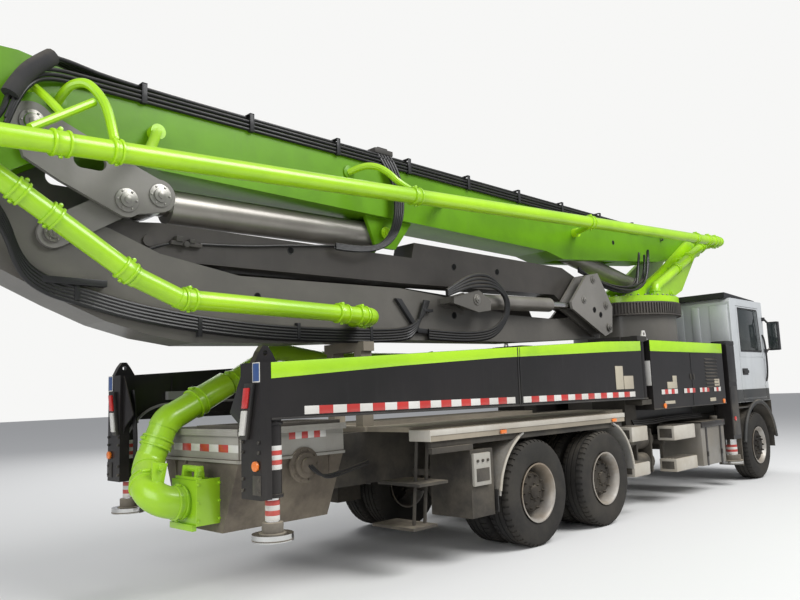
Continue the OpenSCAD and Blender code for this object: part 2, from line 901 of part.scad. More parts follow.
// Boom sections
module boom_1() {
    color("yellowgreen") on_truck() {
        difference() {
            union() {
                side_plate([[-5150, boom1_low + 30], [1100, boom1_low - 20], [1500, boom1_low - 90],
                    [4300, boom1_low + 160], foot_pin + [-400, -190], foot_pin + [60, -150], foot_pin + [130, 60],
                    foot_pin + [-60, 140], [5300, boom1_top], [-5150, boom1_top]],
                    boom_y - boom1_w / 2, boom_y + boom1_w / 2);
                for (y = [boom_y - boom1_w / 2, boom_y + boom1_w / 2 - 40]) {
                    side_plate([[-5100, boom1_low + 30], [-5100, boom1_top], [-5420, boom1_top + 50],
                        [-5640, boom1_top + 40], [-5860, boom1_top - 90], knee_pin + [-220, 180], knee_pin + [-190, -210],
                        knee_pin + [200, -210]], y, y + 40);
                    cross_bar(knee_pin, 280, y, y + 40);
                }
                cross_bar(foot_pin, 160, boom_y - boom1_w / 2, boom_y + boom1_w / 2);
            }
            cross_bar(foot_pin, boom_pin_r - 20, boom_y - boom1_w / 2 - 1, boom_y + boom1_w / 2 + 1);
            // Slot between the cheeks that hold the lift cylinder's eye
            side_plate([lift_eye + [-200, -500], lift_eye + [-200, 140], lift_eye + [150, 140], lift_eye + [1450, -20],
                lift_eye + [1450, -500]], boom_y - lift_r - 9, boom_y + lift_r + 9);
        }
        cross_bar(foot_pin, boom_pin_r - pin_gap, boom_y - boom1_w / 2 - run - 80, boom_y + boom1_w / 2 + run + 80);
        cross_bar(knee_pin, boom_pin_r, boom_y - boom1_w / 2 - 30, boom_y + boom1_w / 2 + 30);
        // Bracket of the knee cylinder's foot
        for (y = [boom_y - 140 - run - 40, boom_y + 140 + run])
            side_plate([[knee_foot[0] - 260, boom1_low + 10], [knee_foot[0] - 120, knee_foot[1] - 150],
                [knee_foot[0] + 160, knee_foot[1] - 150], [knee_foot[0] + 420, boom1_low + 10]], y, y + 40);
        cross_bar(knee_foot, 50 - pin_gap, boom_y - 140 - run - 70, boom_y + 140 + run + 70);
        cross_bar(rocker_pin, 60, boom_y - rocker_y[1] - 20, boom_y + rocker_y[1] + 20);
    }
}

knee_foot = [-1820, boom1_low - 155];
knee_eye = [-4370, boom1_low - 200];
rocker_pin = [-5330, boom1_low + 170];
rocker_a = [-4640, boom1_low - 280];
link_pin = [-5150, boom1_low - 590];
knee_r = 145;
knee_rod_r = 90;
knee_len = norm(knee_eye - knee_foot);
knee_angle = atan2(knee_eye[1] - knee_foot[1], knee_eye[0] - knee_foot[0]);
rocker_y = [boom1_w / 2 + run, boom1_w / 2 + run + 40];
rocker_window_x = [-4980, -4860];
rocker_window_z = boom1_low - 30;

module knee_barrel() {
    color("silver") on_truck()
        cylinder_barrel(knee_foot, knee_angle, knee_len - 200, knee_r, knee_rod_r + seat, 50, 280);
}

module knee_rod() {
    color("lightgray") on_truck()
        cylinder_rod(knee_foot, knee_angle, knee_r * 1.6 + 40, knee_len, knee_rod_r, 130, 200);
}

module knee_rocker() {
    color("gray") on_truck() {
        for (side = [-1, 1]) {
            low = side > 0 ? rocker_y[0] : -rocker_y[1];
            difference() {
                union() {
                    side_plate([rocker_pin + [-145, 20], rocker_pin + [-48, -258], rocker_pin + [196, -384],
                        rocker_a + [-40, -124], knee_eye + [40, -124], knee_eye + [90, 95], knee_eye + [-170, 190],
                        rocker_pin + [110, 100]], boom_y + low, boom_y + low + 40);
                    cross_bar(rocker_pin, 150, boom_y + low, boom_y + low + 40);
                    cross_bar(knee_eye, 130, boom_y + low, boom_y + low + 40);
                    cross_bar(rocker_a, 130, boom_y + low, boom_y + low + 40);
                }
                cross_bar(rocker_pin, 60 + pin_gap, boom_y + low - 1, boom_y + low + 41);
                // Long round-ended window
                for (x = rocker_window_x)
                    cross_bar([x, rocker_window_z], 62, boom_y + low - 1, boom_y + low + 41);
                block(rocker_window_x, [boom_y + low - 1, boom_y + low + 41], [rocker_window_z - 62, rocker_window_z + 62]);
            }
        }
    }
}

module knee_link() {
    link_y = boom2_w / 2 + run;
    color("gray") on_truck()
        for (low = [-link_y - 36, link_y])
            difference() {
                union() {
                    side_plate([link_pin + [-60, 90], link_pin + [60, -90], rocker_a + [60, -90], rocker_a + [-60, 90]],
                        boom_y + low, boom_y + low + 36);
                    cross_bar(link_pin, 105, boom_y + low, boom_y + low + 36);
                    cross_bar(rocker_a, 105, boom_y + low, boom_y + low + 36);
                }
                cross_bar(link_pin, 50 + pin_gap, boom_y + low - 1, boom_y + low + 37);
            }
}

module boom_2() {
    color("gray") on_truck() {
        difference() {
            union() {
                side_plate([[-6080, knee_pin[1] - 60], [-5900, boom1_low - 560], [-5500, boom1_low - 860],
                    [-5075, boom1_low - 1060], [-4748, boom1_low - 1196], [-4394, boom1_low - 1290],
                    [-4035, boom1_low - 1344], [-2944, boom1_low - 1322], [rest_x[0] - 100, rest_z], [rest_x[1] + 100, rest_z],
                    [-1645, boom1_low - 1260], [473, boom1_low - 1232], [2426, boom1_low - 1128], [2460, boom1_low - 750],
                    [2300, boom1_low - 590], [2050, boom1_low - 610], [1760, boom1_low - 830], [1535, boom1_low - 910],
                    [296, boom1_low - 903], [-989, boom1_low - 754], [-1617, boom1_low - 714], [-3577, boom1_low - 755],
                    [-4315, boom1_low - 640], [-4721, boom1_low - 490], [-5300, boom1_low - 350],
                    [-5690, knee_pin[1] + 60]],
                    boom_y - boom2_w / 2, boom_y + boom2_w / 2);
                cross_bar(knee_pin, 200, boom_y - boom2_w / 2, boom_y + boom2_w / 2);
            }
            cross_bar(knee_pin, boom_pin_r + pin_gap, boom_y - boom2_w / 2 - 1, boom_y + boom2_w / 2 + 1);
            // Slots that take the third section's two ends
            block([1500, 2600], [boom_y - boom3_w / 2 - run, boom_y + boom3_w / 2 + run], [boom1_low - 870, boom1_low - 490]);
            block([-4960, -3400], [boom_y - boom3_w / 2 - run, boom_y + boom3_w / 2 + run], [boom3_low - 30, boom1_low]);
        }
        cross_bar(link_pin, 50, boom_y - boom2_w / 2 - run - 50, boom_y + boom2_w / 2 + run + 50);
        cross_bar(elbow_pin, 55, boom_y - boom2_w / 2, boom_y + boom2_w / 2);
        // Bracket of the elbow cylinder's foot, and the rocker's pin
        for (y = [elbow_y - 130, boom_y - boom2_w / 2 - 14])
            side_plate([elbow_foot + [-391, 4], elbow_foot + [-202, 50], elbow_foot + [47, 113], elbow_foot + [256, -1],
                elbow_foot + [248, -107], elbow_foot + [28, -141], elbow_foot + [-395, -63]], y, y + (y < elbow_y ? 34 : 15));
        block([elbow_foot[0] - 380, elbow_foot[0] - 120], [elbow_y - 130, boom_y - boom2_w / 2 + 1],
            [elbow_foot[1] - 50, elbow_foot[1] + 8]);
        cross_bar(elbow_foot, 35 - pin_gap, elbow_y - 130, boom_y - boom2_w / 2);
        cross_bar(elbow_pivot, 45, elbow_y - 115, boom_y);
    }
}

boom3_low = boom1_low - 700;

module boom_3() {
    color("gray") on_truck() {
        difference() {
            union() {
                side_plate([[-4860, boom3_low + 140], [-4700, boom3_low + 40], [-4000, boom3_low + 20],
                    [-1570, boom3_low + 51], [1370, boom3_low + 130], [1560, boom3_low + 20],
                    [2200, elbow_pin[1] - 130], [2390, elbow_pin[1] - 60], [2380, elbow_pin[1] + 100],
                    [2150, elbow_pin[1] + 330], [1600, boom3_low + 515], [-1330, boom3_low + 515],
                    [-1380, boom3_low + 340], [-4300, boom3_low + 320], [-4860, boom3_low + 260]],
                    boom_y - boom3_w / 2, boom_y + boom3_w / 2);
                cross_bar(elbow_pin, 140, boom_y - boom3_w / 2, boom_y + boom3_w / 2);
            }
            cross_bar(elbow_pin, 55 + pin_gap, boom_y - boom3_w / 2 - 1, boom_y + boom3_w / 2 + 1);
        }
        cross_bar(wrist_pin, 45, boom_y - boom3_w / 2 - 20, boom4_y[1] + 20);
    }
}

boom4_y = [300, 520];
boom5_y = [560, 740];

module boom_4() {
    color("gray") on_truck() {
        difference() {
            union() {
                side_plate([wrist_pin + [-120, -90], wrist_pin + [300, -230], tip_pin + [0, -120],
                    tip_pin + [110, -40], tip_pin + [0, 130], wrist_pin + [-60, 110]],
                    boom4_y[0], boom4_y[1]);
                cross_bar(wrist_pin, 120, boom4_y[0], boom4_y[1]);
            }
            cross_bar(wrist_pin, 45 + pin_gap, boom4_y[0] - 1, boom4_y[1] + 1);
        }
        cross_bar(tip_pin, 35, boom4_y[0] - 10, boom5_y[1] + 15);
    }
}

module boom_5() {
    color("gray") on_truck()
        difference() {
            union() {
                side_plate([[-3700, boom1_low - 910], tip_pin + [0, -100], tip_pin + [90, 0],
                    tip_pin + [0, 100], [-3700, boom1_low - 770]], boom5_y[0], boom5_y[1]);
                cross_bar(tip_pin, 100, boom5_y[0], boom5_y[1]);
            }
            cross_bar(tip_pin, 35 + pin_gap, boom5_y[0] - 1, boom5_y[1] + 1);
        }
}

pipe1_y = -850;

// The height of the first pipe at a place along it
pipe1_rise = (foot_pin[1] - knee_pin[1]) / (foot_pin[0] - knee_pin[0]);

function pipe1_z(x) = knee_pin[1] + (x - knee_pin[0]) * pipe1_rise;

module pipe_1() {
    color("yellowgreen") on_truck() {
        pipe_route([[knee_pin[0], knee_swivel_y, knee_pin[1]], [knee_pin[0], pipe1_y, knee_pin[1]],
            [foot_pin[0], pipe1_y, foot_pin[1]], [foot_pin[0], foot_swivel_y - seat, foot_pin[1]]], pipe_r, 110);
        for (x = [-4700, -1300, 1500]) {
            bar([x, pipe1_y, pipe1_z(x)], [x + 300, boom_y - boom1_w / 2 - 45, boom1_low + 310], 40);
            cross_bar([x + 300, boom1_low + 310], 62, boom_y - boom1_w / 2 - 75, boom_y - boom1_w / 2 - seat);
        }
    }
}

pipe2_y = -620;

module pipe_2() {
    color("yellowgreen") on_truck() {
        pipe_route([[knee_pin[0], knee_swivel_y + seat, knee_pin[1]], [knee_pin[0], pipe2_y, knee_pin[1]],
            [-4677, pipe2_y, boom1_low - 901], [-4323, pipe2_y, boom1_low - 1040], [-2300, pipe2_y, boom1_low - 1080],
            [-2300, boom_y - boom2_w / 2 - seat, boom1_low - 1080]], pipe_r, 110);
    }
}

// Elbow cylinder and rocker, beside the second section
elbow_y = boom_y - boom2_w / 2 - 110;
elbow_foot = [-640, boom1_low - 800];
elbow_eye = [1660, boom1_low - 730];
elbow_pivot = [2309, boom1_low - 993];
elbow_tip = [1963, boom1_low - 345];
elbow_r = 90;
elbow_rod_r = 50;
elbow_len = norm(elbow_eye - elbow_foot);
elbow_angle = atan2(elbow_eye[1] - elbow_foot[1], elbow_eye[0] - elbow_foot[0]);

module elbow_barrel() {
    color("dimgray") on_truck()
        translate([0, elbow_y - boom_y, 0])
            cylinder_barrel(elbow_foot, elbow_angle, elbow_len - 670, elbow_r, elbow_rod_r + seat, 35, 176);
}

module elbow_rod() {
    color("lightgray") on_truck()
        translate([0, elbow_y - boom_y, 0])
            cylinder_rod(elbow_foot, elbow_angle, elbow_r * 1.6 + 40, elbow_len, elbow_rod_r, 75, 116);
}

// Plates on both sides of the rod's eye, joined by two spacers
module elbow_rocker() {
    color("gray") on_truck()
        difference() {
            union() {
                for (y = [elbow_y - 100, elbow_y + 64])
                    side_plate([elbow_tip + [-151, 43], elbow_tip + [146, 98], elbow_pin + [211, -8], elbow_pivot + [102, -68],
                        elbow_pivot + [-99, -131], elbow_eye + [-256, -54], elbow_eye + [-269, 39]], y, y + 36);
                cross_bar(elbow_pivot, 80, elbow_y - 100, elbow_y + 100);
                cross_bar(elbow_tip, 50, elbow_y - 100, elbow_y + 100);
            }
            cross_bar(elbow_pivot, 45 + pin_gap, elbow_y - 101, elbow_y + 101);
        }
}

// Outriggers
rear_leg_x = pivot_x - arm_len;
rear_leg_y = half_w - 100;
rear_foot_z = 570;
front_foot_z = 330;
sleeve_low = 870;
arm_end_z = [arm_low + 35, arm_low + 450];

module rear_arm() {
    color("dimgray") on_truck() {
        difference() {
            union() {
                side_plate([[rear_leg_x - 70, arm_end_z[0]], [-1500, arm_low + 20], [pivot_x - 100, arm_low + 5],
                    [pivot_x - 100, arm_high], [800, arm_high - 30], [-1215, arm_high - 140], [-2619, arm_high - 217],
                    [rear_leg_x - 70, arm_end_z[1]]],
                    half_w - arm_t, half_w);
                translate([pivot_x, pivot_y, arm_low])
                    cylinder(h = arm_high - arm_low, r = pivot_r);
                // Plate across the arm's end, and the sleeve of the jack leg
                block([rear_leg_x - 160, rear_leg_x - 69], [half_w - 250, half_w], [sleeve_low, arm_end_z[1]]);
                translate([rear_leg_x, rear_leg_y, sleeve_low])
                    cylinder(h = arm_end_z[0] + 20 - sleeve_low, r = leg_r + 20);
            }
            translate([pivot_x, pivot_y, arm_low - 1])
                cylinder(h = arm_high - arm_low + 2, r = pivot_pin_r + pin_gap);
            translate([rear_leg_x, rear_leg_y, sleeve_low - 1])
                cylinder(h = 900, r = leg_r + seat);
        }
        // Lifting ear
        difference() {
            side_plate([[rear_leg_x - 160, arm_end_z[1] - 1], [rear_leg_x + 40, arm_end_z[1] - 1],
                lug_hole + [55, 10], lug_hole + [20, 55], lug_hole + [-20, 55], lug_hole + [-55, 10]],
                half_w - 130, half_w - 70);
            cross_bar(lug_hole, 20, half_w - 131, half_w - 69);
        }
    }
}

lug_hole = [rear_leg_x - 65, arm_low + 520];

module rear_arm_left() {
    rear_arm();
}

module rear_arm_right() {
    mirror([0, 1, 0])
        rear_arm();
}

module leg(x, y, foot_z, top_z, r) {
    color("silver") on_truck() {
        translate([x, y, foot_z + 40])
            cylinder(h = top_z - foot_z - 40, r = r);
        translate([x, y, foot_z])
            cylinder(h = 50, r = foot_r);
    }
}

module rear_leg_left() {
    leg(rear_leg_x, rear_leg_y, rear_foot_z, sleeve_low + 860, leg_r);
}

module rear_leg_right() {
    mirror([0, 1, 0])
        rear_leg_left();
}

module front_arm(side) {
    y_sign = side == 0 ? -1 : 1;
    y_in = front_leg_y - 110;
    color("dimgray") on_truck() {
        front_beam_body(side, 0, beam_span);
        difference() {
            block([front_leg_x - 155, front_leg_x + 155], y_sign > 0 ? [y_in, half_w] : [-half_w, -y_in], [700, 2195]);
            translate([front_leg_x, y_sign * front_leg_y, 699])
                cylinder(h = 1100, r = front_leg_r + seat);
        }
    }
}

module front_arm_left() {
    front_arm(1);
}

module front_arm_right() {
    front_arm(0);
}

module front_leg_left() {
    leg(front_leg_x, front_leg_y, front_foot_z, 1780, front_leg_r);
}

module front_leg_right() {
    mirror([0, 1, 0])
        front_leg_left();
}

chassis_frame();
axles();
engine();
cab_shell();
cab_glass();
cab_interior();
door_left();
door_right();
front_bumper();
mirrors();
pedestal();
cabinets();
deck();
fenders();
side_gear();
pump_unit();
hopper();
hopper_grate();
delivery_line();
knuckle_left();
knuckle_right();
wheel_front_left();
wheel_front_right();
wheel_middle_left();
wheel_middle_right();
wheel_rear_left();
wheel_rear_right();
turret();
lift_barrel();
lift_rod();
boom_1();
boom_2();
boom_3();
boom_4();
boom_5();
pipe_1();
pipe_2();
knee_barrel();
knee_rod();
knee_rocker();
knee_link();
elbow_barrel();
elbow_rod();
elbow_rocker();
rear_arm_left();
rear_arm_right();
rear_leg_left();
rear_leg_right();
front_arm_left();
front_arm_right();
front_leg_left();
front_leg_right();
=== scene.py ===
import bpy
import math
from mathutils import Matrix, Vector


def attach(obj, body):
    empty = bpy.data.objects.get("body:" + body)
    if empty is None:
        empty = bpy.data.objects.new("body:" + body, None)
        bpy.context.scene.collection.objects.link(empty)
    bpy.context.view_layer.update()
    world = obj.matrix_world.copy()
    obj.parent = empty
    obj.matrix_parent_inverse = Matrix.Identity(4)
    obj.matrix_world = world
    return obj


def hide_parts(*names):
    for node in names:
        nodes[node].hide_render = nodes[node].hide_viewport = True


# Concrete pump truck, folded for the road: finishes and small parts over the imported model
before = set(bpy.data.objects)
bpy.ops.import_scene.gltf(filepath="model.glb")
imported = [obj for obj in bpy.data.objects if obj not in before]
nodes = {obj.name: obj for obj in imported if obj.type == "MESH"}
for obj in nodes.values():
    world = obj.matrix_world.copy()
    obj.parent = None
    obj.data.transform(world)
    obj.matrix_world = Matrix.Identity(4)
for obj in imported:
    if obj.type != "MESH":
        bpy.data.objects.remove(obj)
bpy.ops.object.select_all(action="DESELECT")
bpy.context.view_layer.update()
print("frame loaded:", len(nodes), "nodes")

axleMid = 0.285  # metres from the middle of the truck's box back to the middle of its rear axles
axleHeight = 530  # mm


# Places are given as on the drawing, in mm, X counted from the middle of the rear axles
def at(x, y, z):
    return Vector((x / 1000 - axleMid, y / 1000, z / 1000))


# Camera, where the photographer stood
camera = {"place": (-7064, -5663, 1586), "yaw": 44.64, "pitch": 7.19, "roll": -2.09, "lens": 33.05}


def addCamera():
    yaw, pitch, roll = (math.radians(camera[k]) for k in ("yaw", "pitch", "roll"))
    ahead = Vector((math.cos(yaw) * math.cos(pitch), math.sin(yaw) * math.cos(pitch), math.sin(pitch)))
    side = ahead.cross(Vector((0, 0, 1))).normalized()
    up = side.cross(ahead)
    right = side * math.cos(roll) + up * math.sin(roll)
    top = up * math.cos(roll) - side * math.sin(roll)
    bpy.ops.object.camera_add()
    cam = bpy.context.object
    cam.name = "truckCamera"
    turn = Matrix((right, top, -ahead)).transposed().to_4x4()
    cam.matrix_world = Matrix.Translation(at(*camera["place"])) @ turn
    cam.data.lens = camera["lens"]
    cam.data.sensor_width = 36
    cam.data.clip_end = 300
    bpy.context.scene.camera = cam


# Light and floor
studio = {"floor": (0.74, 0.74, 0.73), "sky": (0.93, 0.95, 1.0), "skyLevel": 0.42,
          "seen": (0.93, 0.93, 0.92), "floorRough": 0.9,
          "keyWatts": 2600, "keyPlace": (3000, -11000, 13000), "keySize": 9.0,
          "fillWatts": 700, "fillPlace": (-13000, -4000, 6000), "fillSize": 8.0,
          "backWatts": 900, "backPlace": (6000, 12000, 11000), "backSize": 9.0}


def addLamp(name, watts, place, size, target=(0, 0, 1500)):
    bpy.ops.object.light_add(type="AREA", location=at(*place))
    lamp = bpy.context.object
    lamp.name = name
    lamp.data.energy = watts
    lamp.data.size = size
    lamp.rotation_euler = (at(*target) - at(*place)).to_track_quat("-Z", "Y").to_euler()


def addStudio():
    for part in ("key", "fill", "back"):
        addLamp(part + "Lamp", studio[part + "Watts"], studio[part + "Place"], studio[part + "Size"])
    world = bpy.data.worlds.new("softSky")
    bpy.context.scene.world = world
    world.use_nodes = True
    tree = world.node_tree
    tree.nodes.clear()
    out = tree.nodes.new("ShaderNodeOutputWorld")
    # What lights the truck, and what the camera sees behind it
    skies = []
    for colour, level in ((studio["sky"], studio["skyLevel"]), (studio["seen"], 1.0)):
        sky = tree.nodes.new("ShaderNodeBackground")
        sky.inputs["Color"].default_value = (*colour, 1)
        sky.inputs["Strength"].default_value = level
        skies.append(sky)
    path = tree.nodes.new("ShaderNodeLightPath")
    either = tree.nodes.new("ShaderNodeMath")
    either.operation = "MAXIMUM"
    tree.links.new(path.outputs["Is Camera Ray"], either.inputs[0])
    tree.links.new(path.outputs["Is Transmission Ray"], either.inputs[1])
    mix = tree.nodes.new("ShaderNodeMixShader")
    tree.links.new(either.outputs[0], mix.inputs[0])
    for index, sky in enumerate(skies, 1):
        tree.links.new(sky.outputs[0], mix.inputs[index])
    tree.links.new(mix.outputs[0], out.inputs["Surface"])
    bpy.ops.mesh.primitive_plane_add(size=160, location=(0, 0, -0.002))
    floor = bpy.context.object
    floor.name = "floor"
    paint = bpy.data.materials.new("paleFloor")
    paint.use_nodes = True
    shader = paint.node_tree.nodes["Principled BSDF"]
    shader.inputs["Base Color"].default_value = (*studio["floor"], 1)
    shader.inputs["Roughness"].default_value = studio["floorRough"]
    floor.data.materials.append(paint)
    bpy.context.scene.view_settings.view_transform = "Standard"


addCamera()
addStudio()
print("camera and light set")


# Node groups for effects that several finishes share
def newGroup(name, inputs, outputs):
    group = bpy.data.node_groups.new(name, "ShaderNodeTree")
    for label, kind, value in inputs:
        socket = group.interface.new_socket(label, in_out="INPUT", socket_type=kind)
        socket.default_value = value
    for label, kind in outputs:
        group.interface.new_socket(label, in_out="OUTPUT", socket_type=kind)
    return group, group.nodes.new("NodeGroupInput"), group.nodes.new("NodeGroupOutput")


# Gives a node's input a number or colour, or links it to another node's output
def feed(tree, socket, value):
    if isinstance(value, (int, float)):
        socket.default_value = value
    elif isinstance(value, tuple):
        socket.default_value = (*value, 1)
    else:
        tree.links.new(value, socket)


def noise(tree, vector, scale, detail=4.0, rough=0.55):
    node = tree.nodes.new("ShaderNodeTexNoise")
    for label, value in (("Scale", scale), ("Detail", detail), ("Roughness", rough), ("Vector", vector)):
        feed(tree, node.inputs[label], value)
    return node.outputs["Fac"]


def spread(tree, value, low, high, to=(0.0, 1.0)):
    node = tree.nodes.new("ShaderNodeMapRange")
    node.interpolation_type = "SMOOTHSTEP"
    for label, number in zip(("From Min", "From Max", "To Min", "To Max", "Value"), (low, high, *to, value)):
        feed(tree, node.inputs[label], number)
    return node.outputs["Result"]


def maths(tree, operation, a, b):
    node = tree.nodes.new("ShaderNodeMath")
    node.operation = operation
    for index, value in enumerate((a, b)):
        feed(tree, node.inputs[index], value)
    return node.outputs[0]


def blendColour(tree, factor, a, b):
    node = tree.nodes.new("ShaderNodeMix")
    node.data_type = "RGBA"
    # Inputs 6 and 7 are the two colours
    for index, value in ((0, factor), (6, a), (7, b)):
        feed(tree, node.inputs[index], value)
    return node.outputs[2]


# Road dust: more on faces that look up, more near the ground, broken up by noise
def dustGroup():
    group, into, out = newGroup("roadDust", [
        ("Vector", "NodeSocketVector", (0, 0, 0)), ("Amount", "NodeSocketFloat", 0.3),
        ("Top Share", "NodeSocketFloat", 0.5), ("Low Z", "NodeSocketFloat", 0.3),
        ("High Z", "NodeSocketFloat", 2.0), ("Scale", "NodeSocketFloat", 2.0)],
        [("Mask", "NodeSocketFloat")])
    place = group.nodes.new("ShaderNodeSeparateXYZ")
    group.links.new(into.outputs["Vector"], place.inputs[0])
    facing = group.nodes.new("ShaderNodeNewGeometry")
    normal = group.nodes.new("ShaderNodeSeparateXYZ")
    group.links.new(facing.outputs["Normal"], normal.inputs[0])
    top = maths(group, "MULTIPLY", spread(group, normal.outputs["Z"], 0.15, 0.95), into.outputs["Top Share"])
    low = spread(group, place.outputs["Z"], into.outputs["High Z"], into.outputs["Low Z"])
    ground = maths(group, "MULTIPLY", low, into.outputs["Amount"])
    cloud = noise(group, into.outputs["Vector"], into.outputs["Scale"], 6.0, 0.62)
    fine = noise(group, into.outputs["Vector"], 42.0, 3.0, 0.6)
    broken = maths(group, "ADD", spread(group, cloud, 0.32, 0.72), maths(group, "MULTIPLY", fine, 0.35))
    total = maths(group, "MULTIPLY", maths(group, "ADD", top, ground), broken)
    clamp = group.nodes.new("ShaderNodeClamp")
    group.links.new(total, clamp.inputs["Value"])
    group.links.new(clamp.outputs[0], out.inputs["Mask"])
    return group


# Streaks that run down a painted side
def streakGroup():
    group, into, out = newGroup("downStreaks", [
        ("Vector", "NodeSocketVector", (0, 0, 0)), ("Amount", "NodeSocketFloat", 0.3)],
        [("Mask", "NodeSocketFloat")])
    stretch = group.nodes.new("ShaderNodeMapping")
    stretch.inputs["Scale"].default_value = (9, 9, 0.7)
    group.links.new(into.outputs["Vector"], stretch.inputs["Vector"])
    lines = spread(group, noise(group, stretch.outputs[0], 1.6, 5.0, 0.7), 0.5, 0.8)
    patches = spread(group, noise(group, into.outputs["Vector"], 0.9, 2.0), 0.35, 0.65)
    group.links.new(maths(group, "MULTIPLY", maths(group, "MULTIPLY", lines, patches), into.outputs["Amount"]),
                    out.inputs["Mask"])
    return group


# Small chips and rubbed spots in paint
def chipGroup():
    group, into, out = newGroup("paintChips", [
        ("Vector", "NodeSocketVector", (0, 0, 0)), ("Amount", "NodeSocketFloat", 0.3)],
        [("Mask", "NodeSocketFloat")])
    fine = noise(group, into.outputs["Vector"], 16.0, 8.0, 0.7)
    broad = spread(group, noise(group, into.outputs["Vector"], 1.7, 2.0), 0.45, 0.7)
    edge = maths(group, "SUBTRACT", 0.72, maths(group, "MULTIPLY", into.outputs["Amount"], 0.12))
    spots = spread(group, fine, edge, maths(group, "ADD", edge, 0.03))
    group.links.new(maths(group, "MULTIPLY", spots, broad), out.inputs["Mask"])
    return group


dustEffect = dustGroup()
streakEffect = streakGroup()
chipEffect = chipGroup()


def useGroup(tree, group, **values):
    node = tree.nodes.new("ShaderNodeGroup")
    node.node_tree = group
    for label, value in values.items():
        feed(tree, node.inputs[label.replace("_", " ")], value)
    return node.outputs["Mask"]


